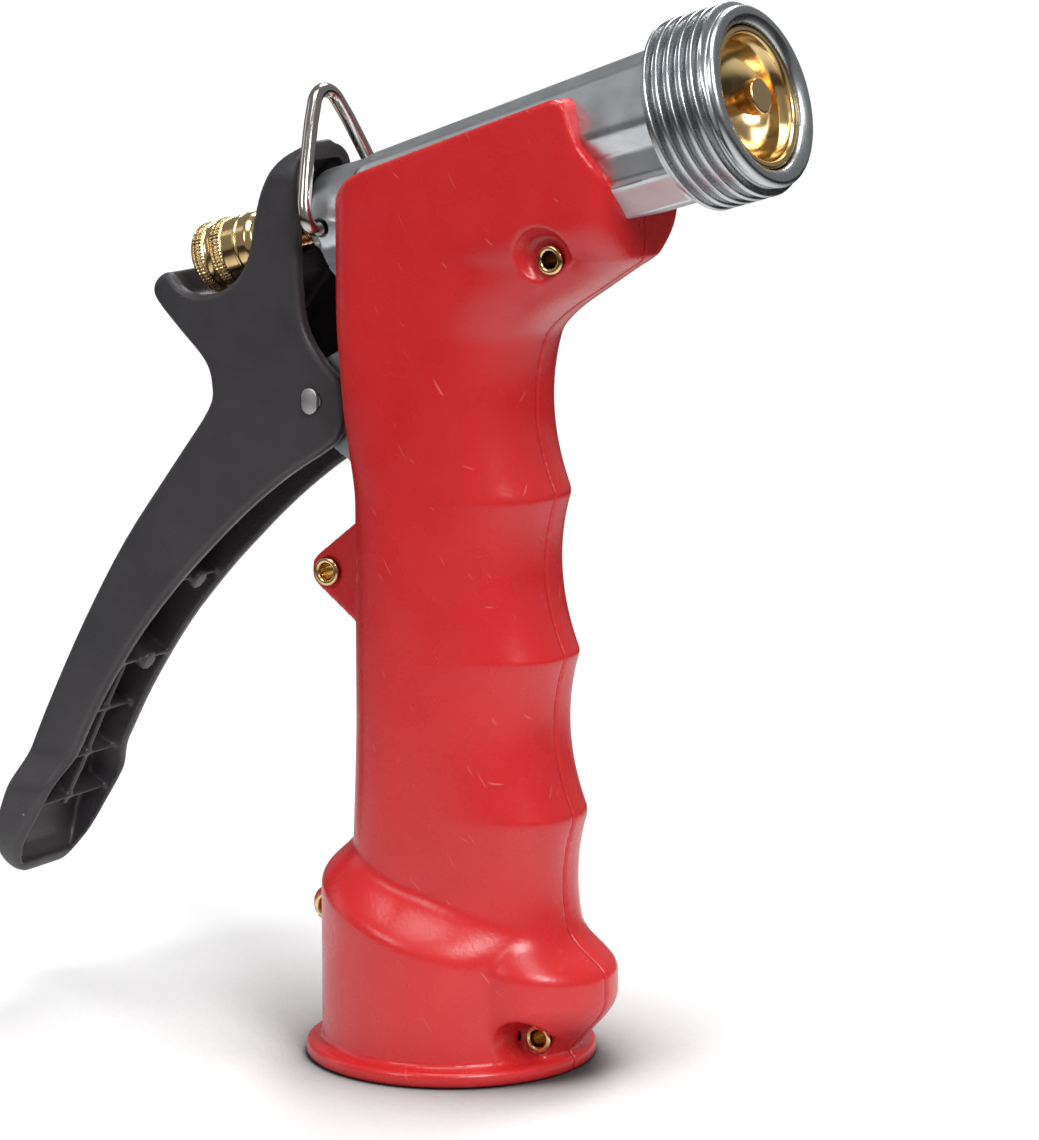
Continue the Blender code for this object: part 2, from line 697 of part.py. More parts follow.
def build_lever(material):
    """The one-piece moulded lever: hood, push wall, hinge cheeks, thumb rest and paddle."""
    outline = (
        LEVER_HOOD + LEVER_NOTCH + LEVER_HORN + LEVER_ELBOW + LEVER_BACK + LEVER_TIP
        + LEVER_FRONT + LEVER_BOSS
    )
    paddle_levels = [17.0 + 3.0 * step for step in range(1, 8)]
    hood_levels = [HOOD_SPRING + HOOD_ARCH * share for share in (0.0, 0.35, 0.6, 0.8, 0.93)]
    roof_levels = [HOOD_SPRING + (HOOD_ARCH - LEVER_WALL) * share for share in (0.0, 0.45, 0.75, 0.93)]
    lever = prism("lever", outline, lever_half_width, material, paddle_levels + hood_levels)
    slot_outline = [
        on_barrel(PUSH_STATION + 4.0, 4.6), on_barrel(PUSH_STATION - 8.0, 4.6),
        on_barrel(PUSH_STATION - 8.0, -3.0), on_barrel(PUSH_STATION + 4.0, -3.0),
    ]
    cutters = (
        prism("lever_channel", channel_outline(), channel_half_width, None, paddle_levels + roof_levels),
        prism("lever_nut_notch", nut_notch_outline(), LEVER_HALF_WIDTH - LEVER_WALL - 0.02),
        prism("lever_stem_slot", slot_outline, 2.5),
        cylinder_along_y("lever_pin_hole", *PIVOT, PIN_RADIUS + 0.08, -12.0, 12.0),
    )
    for tool in cutters:
        boolean(lever, tool, "DIFFERENCE")
    set_origin(lever, (PIVOT[0], 0.0, PIVOT[1]))
    return lever


# ---------------------------------------------------------------- valve pieces

def insert_profile():
    """Brass nozzle insert: a bowl that narrows to the throat, with a seat behind it."""
    radius = OUTLET_BORE - GAP
    return [
        (radius, 38.5), (radius, 50.0), (radius - 0.3, 50.4), (8.9, 50.4), (8.5, 49.4), (7.4, 45.8),
        (5.2, 43.4), (3.2, 42.6), (3.0, 42.0), (3.0, 39.6), (3.4, 38.5),
    ]


def jet_tip_profile():
    """Brass plug on the front of the stem: tip disc, neck, seat shank and flange."""
    return [
        (0.0, 51.0), (2.1, 51.0), (2.5, 50.7), (2.5, 49.6), (1.6, 47.6), (1.6, 41.2), (2.4, 39.8),
        (2.4, 36.1), (5.2, 36.1), (5.2, 34.2), (3.4, 33.4), (3.4, 29.6), (2.2, 29.6), (2.2, 33.5),
        (0.0, 33.5),
    ]


def gland_profile():
    """Round body of the gland nut; its hexagon is cut afterwards."""
    return [
        (STEM_HOLE + 0.1, -21.4), (5.4, -21.4), (5.4, -19.15), (PACKING_BORE - GAP, -19.15),
        (PACKING_BORE - GAP, -15.7), (STEM_HOLE + 0.1, -15.7),
    ]


def flow_nut_profile():
    """Blind brass nut: shoulder, two grip bands with a waist between, and a domed end."""
    dome = [(0.0, NUT_REAR)]
    for step in range(1, 5):
        angle = math.radians(90.0 - 90.0 * step / 4)
        dome.append((4.6 * math.cos(angle), NUT_REAR + 1.0 - 1.0 * math.sin(angle)))
    front = [
        (NUT_RADIUS, -41.6), (NUT_RADIUS, -39.2), (4.5, -38.9), (4.5, -38.3), (NUT_RADIUS, -38.0),
        (NUT_RADIUS, -35.6), (4.6, -35.0), (4.6, -32.2), (4.1, NUT_FRONT), (2.25, NUT_FRONT),
        (2.25, -41.3), (0.0, -41.3),
    ]
    return dome + front


def build_gland_nut(material, barrel_axis):
    """The gland nut, with a hexagon that a spanner fits."""
    gland = lathe("gland_nut", gland_profile(), material, 18)
    across_flats = 8.6
    hexagon = lathe(
        "gland_hexagon", ring_profile(across_flats / math.sqrt(3.0), 9.0, -23.0, -19.2), None, 6)
    attach(gland, barrel_axis)
    attach(hexagon, barrel_axis)
    boolean(gland, hexagon, "DIFFERENCE")
    return gland


def build_spring(material, barrel_axis):
    """The valve's return spring, a round wire coil about the stem."""
    length = COLLAR_STATION - GAP - SPRING_REAR - 2.0 * SPRING_WIRE_RADIUS
    steps_per_turn = 12
    count = SPRING_TURNS * steps_per_turn
    path = []
    for index in range(count + 1):
        angle = math.tau * index / steps_per_turn
        height = SPRING_REAR + SPRING_WIRE_RADIUS + length * index / count
        path.append((SPRING_COIL_RADIUS * math.cos(angle), SPRING_COIL_RADIUS * math.sin(angle), height))
    attach(wire("return_spring", path, SPRING_WIRE_RADIUS, material, 5), barrel_axis)


def build_valve(barrel_axis, materials):
    """Every turned piece that sits on the barrel axis."""
    metal, rubber, steel = materials["brass"], materials["rubber"], materials["steel"]
    turned = (
        ("nozzle_insert", insert_profile(), metal, 24),
        ("insert_gasket", ring_profile(8.0, OUTLET_BORE - GAP, 37.2, 38.3), rubber, 16),
        ("jet_tip", jet_tip_profile(), metal, 16),
        ("seat_washer", ring_profile(2.65, 5.0, 36.3, 38.25), rubber, 16),
        ("valve_stem", [(0.0, STEM_REAR), (STEM_RADIUS, STEM_REAR), (STEM_RADIUS, STEM_FRONT),
                        (0.0, STEM_FRONT)], metal, 12),
        ("spring_collar", ring_profile(STEM_HOLE, 4.9, COLLAR_STATION, COLLAR_STATION + 1.0), steel, 16),
        ("collar_clip", ring_profile(STEM_HOLE - 0.05, 3.6, COLLAR_STATION + 1.2, COLLAR_STATION + 1.9),
         steel, 16),
        ("packing_washer", ring_profile(STEM_HOLE + 0.1, PACKING_BORE - GAP, -13.2, -12.6), metal, 16),
        ("stem_packing", ring_profile(STEM_HOLE, PACKING_BORE - GAP, -15.5, -13.4), rubber, 16),
        ("nut_washer", ring_profile(2.3, 4.6, -30.7, -29.75), steel, 16),
        ("flow_nut", flow_nut_profile(), metal, 20),
    )
    for name, profile, material, steps in turned:
        attach(lathe(name, profile, material, steps), barrel_axis)
    build_gland_nut(steel, barrel_axis)
    build_spring(steel, barrel_axis)


# ---------------------------------------------------------------- bail and inlet

def bail_path():
    """Half of the wire's centre line as (side, reach) points, from the foot to the apex."""
    foot = [(5.9, 0.0), (8.4, 0.0)]
    bend_radius = 1.8
    bend = []
    for angle in (30.0, 60.0, 90.0):
        turn = math.radians(angle)
        bend.append((8.4 + bend_radius * math.sin(turn), bend_radius * (1.0 - math.cos(turn))))
    leg = [(9.9, 3.6), (7.2, 9.5), (4.5, 14.6)]
    apex_radius = 3.4
    crown = []
    for angle in (25.0, 50.0, 75.0):
        side = apex_radius * math.cos(math.radians(angle))
        crown.append((side, BAIL_LENGTH - apex_radius + apex_radius * math.sin(math.radians(angle))))
    return foot + bend + leg + crown


def build_bail(material):
    """The wire bail, whose turned-in feet sit in holes in the neck."""
    half = bail_path()
    path = [(0.0, -side, reach) for side, reach in half] + [(0.0, 0.0, BAIL_LENGTH)]
    path += [(0.0, side, reach) for side, reach in reversed(half)]
    bail = wire("bail", path, BAIL_WIRE, material)
    bail.location = Vector((BAIL_HINGE[0], 0.0, BAIL_HINGE[1])) * MM
    bail.rotation_euler = (0.0, -BAIL_LEAN, 0.0)
    return bail


def build_inlet_washer(material):
    """The rubber washer at the bottom of the inlet socket."""
    return lathe("inlet_washer", ring_profile(7.5, SOCKET_BORE - GAP, 11.2, SOCKET_DEPTH - GAP), material)


def place_in_frame():
    """Carry every loose object on one empty, which puts the origin below the middle of the length."""
    frame = add_empty("frame", (FOOT_AXIS * MM, 0.0, 0.0))
    for item in list(bpy.data.objects):
        if item is not frame and item.parent is None:
            attach(item, frame)


def build_all():
    """Make every piece."""
    clear_scene()
    red, black, zinc = red_plastic(), black_nylon(), cast_zinc()
    metal, bright_wire, steel, rubber = brass(), nickel_wire(), grey_steel(), black_rubber()
    barrel_axis = add_empty(
        "barrel_axis", (0.0, 0.0, BARREL_HEIGHT * MM), (0.0, math.radians(90.0) - BARREL_TILT, 0.0))
    build_casting(zinc, barrel_axis)
    build_grip(-1, red, barrel_axis)
    build_grip(1, red, barrel_axis)
    for name in RIVETS:
        build_rivet(name, metal)
    build_pin(steel)
    build_lever(black)
    build_valve(barrel_axis, {"brass": metal, "rubber": rubber, "steel": steel})
    build_bail(bright_wire)
    build_inlet_washer(rubber)
    place_in_frame()


build_all()
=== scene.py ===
"""Looks of an insulated pistol-grip spray nozzle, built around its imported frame.

Shapes are worked out in millimetres, with x measured from the axis of the grip's round foot, and are
turned into the frame's metres where a mesh is made. The plane y = 0 is the symmetry plane.
"""

import json
import math
from functools import partial

import bmesh
import bpy
from mathutils import Matrix, Vector


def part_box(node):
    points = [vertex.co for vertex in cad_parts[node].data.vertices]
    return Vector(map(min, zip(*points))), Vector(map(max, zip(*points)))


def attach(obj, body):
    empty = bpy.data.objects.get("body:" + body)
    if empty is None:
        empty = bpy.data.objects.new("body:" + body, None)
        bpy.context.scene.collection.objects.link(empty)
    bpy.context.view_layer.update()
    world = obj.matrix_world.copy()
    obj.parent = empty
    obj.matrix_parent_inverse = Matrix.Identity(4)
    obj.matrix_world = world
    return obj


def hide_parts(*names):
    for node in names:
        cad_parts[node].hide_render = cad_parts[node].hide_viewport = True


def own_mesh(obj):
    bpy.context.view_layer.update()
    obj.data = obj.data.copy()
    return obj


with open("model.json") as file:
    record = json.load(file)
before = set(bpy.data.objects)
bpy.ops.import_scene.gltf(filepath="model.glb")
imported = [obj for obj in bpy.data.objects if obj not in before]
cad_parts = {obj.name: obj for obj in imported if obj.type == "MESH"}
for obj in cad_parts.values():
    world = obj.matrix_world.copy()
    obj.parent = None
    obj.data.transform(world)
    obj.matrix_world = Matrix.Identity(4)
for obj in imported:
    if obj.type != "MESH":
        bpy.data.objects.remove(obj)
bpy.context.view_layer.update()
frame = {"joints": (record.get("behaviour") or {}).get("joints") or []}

MM = 0.001
JOINTS = {joint["name"]: joint for joint in frame["joints"]}


def box_centre(node):
    """Middle of a CAD node's box, in millimetres of the frame."""
    low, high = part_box(node)
    return (low + high) / (2.0 * MM)


FOOT_X = box_centre("inlet_washer").x
SIDEWAYS = Vector((0.0, 1.0, 0.0))


def local_point(position):
    """A frame position in metres, as millimetres from the foot's axis."""
    return Vector(position) / MM - Vector((FOOT_X, 0.0, 0.0))


# The barrel's axis, and the point of it that is above the foot.
AXIS = -Vector(JOINTS["stem_slide"]["axis"]).normalized()
UP = Vector((-AXIS.z, 0.0, AXIS.x))
NUT_POINT = local_point(JOINTS["nut_turn"]["pos_m"])
BARREL_ORIGIN = NUT_POINT - AXIS * (NUT_POINT.x / AXIS.x)
PIVOT = local_point(JOINTS["lever_squeeze"]["pos_m"])
BAIL_HINGE = local_point(JOINTS["bail_swing"]["pos_m"])

# Barrel and outlet, as stations along the axis and radii about it.
OUTLET_FACE = 51.45
THREAD_START = 39.9
BARREL_REAR = -11.2
NECK_REAR = -18.9
THREAD_RADIUS = 13.2
THREAD_ROOT = 12.1
THREAD_PITCH = 1.814
RIM_RADIUS = 12.4
OUTLET_BORE = 9.92
BARREL_BOTTOM = 11.0
BARREL_TOP_FRONT, BARREL_TOP_REAR = 10.1, 7.3
BARREL_SIDE_FRONT, BARREL_SIDE_REAR = 10.7, 8.4
NECK_RADIUS = 7.3
TUBE_RADIUS = 9.2
SOCKET_RADIUS = 15.2
SOCKET_HEIGHT = 14.0
SOCKET_BORE = 12.2
SOCKET_LIFT = 0.6

# Grip shells.
FOOT_RADIUS = 20.5
FOOT_THICKNESS = 2.3
SKIRT_RADIUS = 18.2
HANDLE_HALF_WIDTH = 12.3
FINGER_PITCH = 22.4
FIRST_CREST = 36.0
FINGER_DEPTH = 2.4
HEAD_FRONT = 31.2
HEAD_TOP_LINE = 5.9
GRIP_GAP = 0.25
SEAM = 0.05
LUG_HALF_WIDTH = 4.8
GUSSET_HALF_WIDTH = 6.4
RIVET_HOLE = 1.75
TAB_HALF_WIDTH = 3.0

# Grid of the remeshed pieces.
GRIP_VOXEL, BARREL_VOXEL, LEVER_VOXEL = 0.36, 0.3, 0.33

# Rivet pockets: half length over the shells, pocket radius, how much it flares out and over what depth.
RIVET_POCKETS = {
    "rivet_head": (8.9, 3.6, 0.9, 2.6),
    "rivet_back": (3.1, 0.0, 0.0, 0.0),
    "rivet_foot_back": (3.1, 2.5, 0.9, 2.6),
    "rivet_foot_front": (4.9, 3.0, 0.6, 7.0),
}

# Lever.
LEVER_HALF_WIDTH = 7.3
LEVER_WALL = 1.9
HOOD_SPRING = 122.5
HOOD_ARCH = 4.5
PADDLE_HALF_WIDTH = 9.9
PADDLE_WALL = 1.35
PADDLE_TOP = 37.4
PADDLE_BLEND = 6.5
PADDLE_ROUNDING = 25.0
PADDLE_END = 8.6
LEVER_EDGE = 0.9
PUSH_STATION = -26.0
PIN_RADIUS = 1.3
BAIL_WIRE_RADIUS = 1.0


# ---------------------------------------------------------------- mesh helpers

def link_mesh(name, mesh_edit, sharp_angle=40.0):
    """Turn a mesh in local millimetres into a scene object in the frame's metres."""
    bmesh.ops.recalc_face_normals(mesh_edit, faces=mesh_edit.faces)
    mesh_edit.transform(Matrix.Scale(MM, 4) @ Matrix.Translation(Vector((FOOT_X, 0.0, 0.0))))
    mesh = bpy.data.meshes.new(name)
    mesh_edit.to_mesh(mesh)
    mesh_edit.free()
    mesh.shade_smooth()
    mesh.set_sharp_from_angle(angle=math.radians(sharp_angle))
    item = bpy.data.objects.new(name, mesh)
    bpy.context.scene.collection.objects.link(item)
    return item


def skin(mesh_edit, rings, closed):
    """Join rings of points with faces; a ring may be a single point. Returns the rows of vertices."""
    rows = [[mesh_edit.verts.new(Vector(point)) for point in ring] for ring in rings]
    for lower, upper in zip(rows, rows[1:] + rows[:1] if closed else rows[1:]):
        count = max(len(lower), len(upper))
        for i in range(count):
            j = (i + 1) % count
            corners = [lower[i % len(lower)], lower[j % len(lower)], upper[j % len(upper)],
                       upper[i % len(upper)]]
            mesh_edit.faces.new(list(dict.fromkeys(corners)))
    return rows


def loft(name, rings, closed=False, sharp_angle=40.0):
    """Skin a stack of closed rings of points; a closed stack joins its last ring to its first."""
    mesh_edit = bmesh.new()
    rows = skin(mesh_edit, rings, closed)
    if not closed:
        caps = [mesh_edit.faces.new(rows[0]), mesh_edit.faces.new(rows[-1])]
        bmesh.ops.triangulate(mesh_edit, faces=caps)
    return link_mesh(name, mesh_edit, sharp_angle)


def barrel_frame(radius, angle, station):
    """A point at a radius and an angle about the barrel's axis."""
    return (BARREL_ORIGIN + AXIS * station + UP * (radius * math.cos(angle))
            + SIDEWAYS * (radius * math.sin(angle)))


def axis_ring(radius, station, steps):
    """A ring about the barrel's axis; the radius is a number or a function of the angle."""
    reach = radius if callable(radius) else lambda angle: radius
    angles = [math.tau * step / steps for step in range(steps)]
    return [barrel_frame(reach(angle), angle, station) for angle in angles]


def foot_frame(radius, angle, station):
    """A point about the vertical axis of the foot."""
    return Vector((radius * math.cos(angle), radius * math.sin(angle), station))


def cross_frame(x, z):
    """Points about a horizontal axis across the object."""
    return lambda radius, angle, station: Vector(
        (x + radius * math.cos(angle), station, z + radius * math.sin(angle)))


def round_corners(profile, size, steps=3):
    """Replace each inner corner of an open outline by a short curve."""
    points = [profile[0]]
    for before, corner, after in zip(profile, profile[1:], profile[2:]):
        here = Vector(corner)
        start, end = (
            here + (Vector(other) - here) * min(0.5, size / max(1e-6, (Vector(other) - here).length))
            for other in (before, after))
        for step in range(steps + 1):
            t = step / steps
            curve = start * (1.0 - t) ** 2 + here * 2.0 * t * (1.0 - t) + end * t * t
            points.append((curve.x, curve.y))
    points.append(profile[-1])
    return points


def turned(name, profile, place=barrel_frame, steps=96, sharp_angle=40.0):
    """Turn a (radius, station) outline; one that starts on the axis ends on it, any other is closed."""
    mesh_edit = bmesh.new()
    rings = []
    for radius, station in profile:
        count = steps if radius > 0.0 else 1
        rings.append([place(radius, math.tau * step / steps, station) for step in range(count)])
    skin(mesh_edit, rings, len(rings[0]) > 1)
    return link_mesh(name, mesh_edit, sharp_angle)


def wire(name, path, radius, sides=16):
    """A round wire along a path, closed at both ends with small domes."""
    points = [Vector(point) for point in path]
    tangent = (points[1] - points[0]).normalized()
    normal = tangent.orthogonal().normalized()
    rings = []
    last = len(points) - 1
    for index, point in enumerate(points):
        tangent = (points[min(index + 1, last)] - points[max(index - 1, 0)]).normalized()
        normal = (normal - tangent * normal.dot(tangent)).normalized()
        binormal = tangent.cross(normal)
        for push, share in {0: ((-0.3, 0.6), (0.0, 1.0)), last: ((0.0, 1.0), (0.3, 0.6))}.get(
                index, ((0.0, 1.0),)):
            ring = []
            for side in range(sides):
                angle = math.tau * side / sides
                spoke = normal * math.cos(angle) + binormal * math.sin(angle)
                ring.append(point + tangent * (push * radius) + spoke * (radius * share))
            rings.append(ring)
    return loft(name, rings)


def smooth_outline(points, steps=4):
    """A closed Catmull-Rom curve through (x, z) points."""
    count = len(points)
    curve = []
    for i in range(count):
        p0, p1, p2, p3 = (Vector(points[(i + k - 1) % count]) for k in range(4))
        for step in range(steps):
            t = step / steps
            q = (p1 * 2.0 + (p2 - p0) * t + (p0 * 2.0 - p1 * 5.0 + p2 * 4.0 - p3) * t * t
                 + (p1 * 3.0 - p0 - p2 * 3.0 + p3) * t ** 3) * 0.5
            curve.append((q.x, q.y))
    return curve


def inset_outline(points, amount, rounder=None):
    """Move each point of a closed outline inwards along its normal, further where rounder says so."""
    area = sum(a[0] * b[1] - a[1] * b[0] for a, b in zip(points, points[1:] + points[:1]))
    turn = 1.0 if area > 0.0 else -1.0
    count = len(points)
    moved = []
    for i in range(count):
        along = Vector(points[(i + 1) % count]) - Vector(points[i - 1])
        along.normalize()
        step = amount * turn * (rounder(points[i][1]) if rounder else 1.0)
        moved.append((points[i][0] - along.y * step, points[i][1] + along.x * step))
    return moved


def rounded_prism(name, outline, half_width, levels, edge=0.0, steps=4, rounder=None):
    """Extrude an (x, z) outline over both sides of y = 0, with rounded rims.

    half_width gives the half width at a height; the sides get extra points at each of the levels.
    rounder gives how many times larger the rounding is at a height.
    """
    layers = []
    for step in range(steps + 1 if edge else 1):
        angle = 0.5 * math.pi * step / steps
        layers.append((edge * (1.0 - math.sin(angle)), edge * (1.0 - math.cos(angle))))
    blank = 50.0
    mesh_edit = bmesh.new()
    rows = []
    for side in (-1.0, 1.0):
        for inset, drop in (layers if side < 0.0 else reversed(layers)):
            shape = inset_outline(outline, inset, rounder) if edge else outline
            rows.append([mesh_edit.verts.new((x, side * (blank - drop), z)) for x, z in shape])
    for lower, upper in zip(rows, rows[1:]):
        for i, corner in enumerate(lower):
            mesh_edit.faces.new((lower[i - 1], corner, upper[i], upper[i - 1]))
    mesh_edit.faces.new(rows[0])
    mesh_edit.faces.new(rows[-1])
    for level in levels:
        everything = list(mesh_edit.verts) + list(mesh_edit.edges) + list(mesh_edit.faces)
        bmesh.ops.bisect_plane(
            mesh_edit, geom=everything, dist=1e-5, plane_co=(0.0, 0.0, level), plane_no=(0.0, 0.0, 1.0))
    for vertex in mesh_edit.verts:
        drop = blank - abs(vertex.co.y)
        if rounder:
            drop *= rounder(vertex.co.z)
        vertex.co.y = math.copysign(half_width(vertex.co.z) - drop, vertex.co.y)
    bmesh.ops.triangulate(mesh_edit, faces=[f for f in mesh_edit.faces if len(f.verts) > 4])
    return link_mesh(name, mesh_edit)


def slab(name, outline, low, high):
    """Extrude an (x, z) outline between two y values."""
    return loft(name, [[(x, low, z) for x, z in outline], [(x, high, z) for x, z in outline]])


def arc(centre, radius, start, end, steps):
    """Points on a circular arc in the (x, z) plane, angles in degrees."""
    points = []
    for i in range(steps + 1):
        angle = math.radians(start + (end - start) * i / steps)
        points.append((centre[0] + radius * math.cos(angle), centre[1] + radius * math.sin(angle)))
    return points


def on_barrel(station, lift):
    """The (x, z) point at a station along the barrel's axis and a height above it."""
    point = BARREL_ORIGIN + AXIS * station + UP * lift
    return (point.x, point.z)


def smoothstep(value):
    """Ease from 0 to 1."""
    value = min(1.0, max(0.0, value))
    return value * value * (3.0 - 2.0 * value)


def bake(item):
    """Apply an object's modifiers to its mesh."""
    bpy.context.view_layer.update()
    evaluated = item.evaluated_get(bpy.context.evaluated_depsgraph_get())
    mesh = bpy.data.meshes.new_from_object(evaluated)
    item.modifiers.clear()
    old = item.data
    item.data = mesh
    bpy.data.meshes.remove(old)
    return item


def discard(items):
    """Remove construction objects."""
    for item in items:
        bpy.data.objects.remove(item, do_unlink=True)


def cut(item, cutters):
    """Subtract several closed solids in one exact Boolean, then remove them."""
    group = bpy.data.collections.new("cutters")
    for cutter in cutters:
        group.objects.link(cutter)
    modifier = item.modifiers.new("cut", "BOOLEAN")
    modifier.operation = "DIFFERENCE"
    modifier.solver = "EXACT"
    modifier.operand_type = "COLLECTION"
    modifier.collection = group
    bake(item)
    discard(cutters)
    bpy.data.collections.remove(group)
    return item


def merge(item, others):
    """Put other objects' surfaces into one mesh; the remesh afterwards makes them one solid."""
    mesh_edit = bmesh.new()
    for part in [item] + others:
        mesh_edit.from_mesh(part.data)
    mesh_edit.to_mesh(item.data)
    mesh_edit.free()
    discard(others)
    return item


def soften(item, voxel, passes):
    """Remesh a solid on a fine grid and relax it, which rounds its edges like a moulding's."""
    remesh = item.modifiers.new("remesh", "REMESH")
    remesh.mode = "VOXEL"
    remesh.voxel_size = voxel * MM
    relax = item.modifiers.new("relax", "SMOOTH")
    relax.factor = 0.5
    relax.iterations = passes
    bake(item)
    item.data.shade_smooth()
    return item


def finish_piece(item, material, body, *nodes):
    """Give a piece its material and body, and let it stand for its CAD nodes."""
    item.data.materials.clear()
    item.data.materials.append(material)
    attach(item, body)
    # Blender adds a number to a material's name when the frame already holds one of that name.
    slot = material.name.split(".")[0]
    "cast_zinc" if slot == "turned_zinc" else slot
    if nodes:
        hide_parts(*nodes)
    return item


# ---------------------------------------------------------------- materials

class Look:
    """A node material in the making. An input is a plain value or another node's output."""

    def __init__(self, name):
        self.material = bpy.data.materials.new(name)
        self.material.use_nodes = True
        self.tree = self.material.node_tree
        self.place = self.add("ShaderNodeTexCoord").outputs["Object"]

    def plug(self, socket, value):
        """Give a socket a value; a colour may leave out its alpha."""
        if isinstance(value, bpy.types.NodeSocket):
            self.tree.links.new(value, socket)
        elif socket.type == "RGBA":
            socket.default_value = value + (1.0,)
        else:
            socket.default_value = value

    def add(self, kind, settings=None, **inputs):
        """Add a shader node."""
        item = self.tree.nodes.new(kind)
        for key, value in (settings or {}).items():
            setattr(item, key, value)
        for key, value in inputs.items():
            self.plug(item.inputs[key.replace("_", " ")], value)
        return item

    def finish(self, **inputs):
        """Set the shader's inputs and return the material."""
        shader = self.tree.nodes["Principled BSDF"]
        for key, value in inputs.items():
            self.plug(shader.inputs[key.replace("_", " ")], value)
        return self.material

    def noise(self, scale, detail=2.0, stretch=None, turn=None):
        """Noise of a given scale per metre, turned and then stretched if asked."""
        place = self.place
        if turn:
            place = self.add("ShaderNodeMapping", Vector=place, Rotation=turn).outputs["Vector"]
        if stretch:
            place = self.add("ShaderNodeMapping", Vector=place, Scale=stretch).outputs["Vector"]
        return self.add("ShaderNodeTexNoise", Vector=place, Scale=scale, Detail=detail).outputs["Fac"]

    def spread(self, value, low, high, low_out=0.0, high_out=1.0):
        """Map a range of values onto another, clamped."""
        item = self.add("ShaderNodeMapRange", Value=value, From_Min=low, From_Max=high,
                        To_Min=low_out, To_Max=high_out)
        return item.outputs["Result"]

    def mix(self, share, first, second):
        """Blend two colours."""
        return self.add("ShaderNodeMixRGB", Fac=share, Color1=first, Color2=second).outputs["Color"]

    def combine(self, operation, first, second):
        """Arithmetic on two values."""
        item = self.add("ShaderNodeMath", {"operation": operation})
        self.plug(item.inputs[0], first)
        self.plug(item.inputs[1], second)
        return item.outputs["Value"]

    def times(self, first, second):
        """Product of two values."""
        return self.combine("MULTIPLY", first, second)

    def bump(self, height, strength, distance, under=None):
        """A bump from a height value, over another bump if given; distance in metres."""
        item = self.add("ShaderNodeBump", Height=height, Strength=strength, Distance=distance)
        if under:
            self.plug(item.inputs["Normal"], under)
        return item.outputs["Normal"]

    def edges(self, low, high, low_out=0.0, high_out=1.0):
        """A value that rises on convex edges and falls in hollows."""
        pointiness = self.add("ShaderNodeNewGeometry").outputs["Pointiness"]
        return self.spread(pointiness, low, high, low_out, high_out)

    def scratches(self, turn):
        """A few short thin streaks along one direction, as a mask."""
        return self.spread(self.noise(1.0, 1.0, (2800.0, 230.0, 150.0), turn), 0.765, 0.795)


def red_plastic():
    """Satin moulded plastic with fine grain, faint blotches, scuffs and a painted highlight on its convex
    edges.
    """
    look = Look("red_plastic")
    blotch = look.spread(look.noise(45.0), 0.35, 0.65)
    colour = look.mix(blotch, (0.530, 0.016, 0.019), (0.575, 0.020, 0.023))
    scuff = look.combine("MAXIMUM", look.scratches((0.3, 0.5, 0.2)), look.scratches((1.1, -0.6, 0.9)))
    colour = look.mix(look.times(scuff, 0.25), colour, (0.85, 0.30, 0.29))
    # Painted highlight: the convex edges are mixed towards a brighter red.
    colour = look.mix(look.times(look.edges(0.52, 0.62), 0.12), colour, (0.80, 0.12, 0.12))
    gloss = look.spread(look.noise(220.0, 4.0), 0.3, 0.7, 0.24, 0.33)
    gloss = look.combine("ADD", gloss, look.times(scuff, 0.2))
    grain = look.bump(look.noise(1500.0, 3.0), 0.10, 0.0003)
    waves = look.bump(look.noise(110.0, 1.0), 0.05, 0.002, grain)
    return look.finish(Base_Color=colour, Roughness=gloss, Normal=waves, Subsurface_Weight=0.06,
                       Subsurface_Radius=(1.0, 0.2, 0.2), Subsurface_Scale=0.0012)


def black_nylon():
    """Charcoal nylon with a fine moulded texture, dust specks and a painted highlight on its edges."""
    look = Look("black_nylon")
    blotch = look.spread(look.noise(70.0, 3.0), 0.3, 0.7)
    colour = look.mix(blotch, (0.027, 0.025, 0.028), (0.036, 0.033, 0.036))
    # Painted highlight: the convex edges are lightened towards grey.
    colour = look.mix(look.times(look.edges(0.53, 0.66), 0.45), colour, (0.16, 0.155, 0.155))
    cells = look.add("ShaderNodeTexVoronoi", Vector=look.place, Scale=260.0).outputs["Distance"]
    speck = look.spread(cells, 0.035, 0.05, 1.0, 0.0)
    rare = look.spread(look.noise(130.0, 0.0), 0.62, 0.66)
    colour = look.mix(look.times(look.times(speck, rare), 0.5), colour, (0.45, 0.44, 0.43))
    rough = look.spread(look.noise(300.0, 4.0), 0.3, 0.7, 0.40, 0.52)
    grain = look.bump(look.noise(2600.0), 0.25, 0.0002)
    waves = look.bump(look.noise(160.0), 0.06, 0.002, grain)
    return look.finish(Base_Color=colour, Roughness=rough, Normal=waves)


# Each metal's colour, darker tone, roughness, stretch of its streaks and share of painted shade in its
# hollows.
METALS = {
    "cast_zinc": ((0.56, 0.59, 0.61), (0.37, 0.395, 0.415), 0.36, (130.0, 1400.0, 900.0), 0.6),
    "turned_zinc": ((0.50, 0.525, 0.54), (0.33, 0.35, 0.37), 0.25, (130.0, 1400.0, 900.0), 0.8),
    "brass": ((0.78, 0.56, 0.27), (0.54, 0.37, 0.16), 0.17, (500.0, 700.0, 500.0), 0.65),
    "nickel_wire": ((0.50, 0.46, 0.43), (0.34, 0.30, 0.28), 0.14, (1500.0, 1500.0, 200.0), 0.3),
    "grey_steel": ((0.50, 0.50, 0.50), (0.33, 0.33, 0.33), 0.42, (900.0, 300.0, 900.0), 0.5),
}


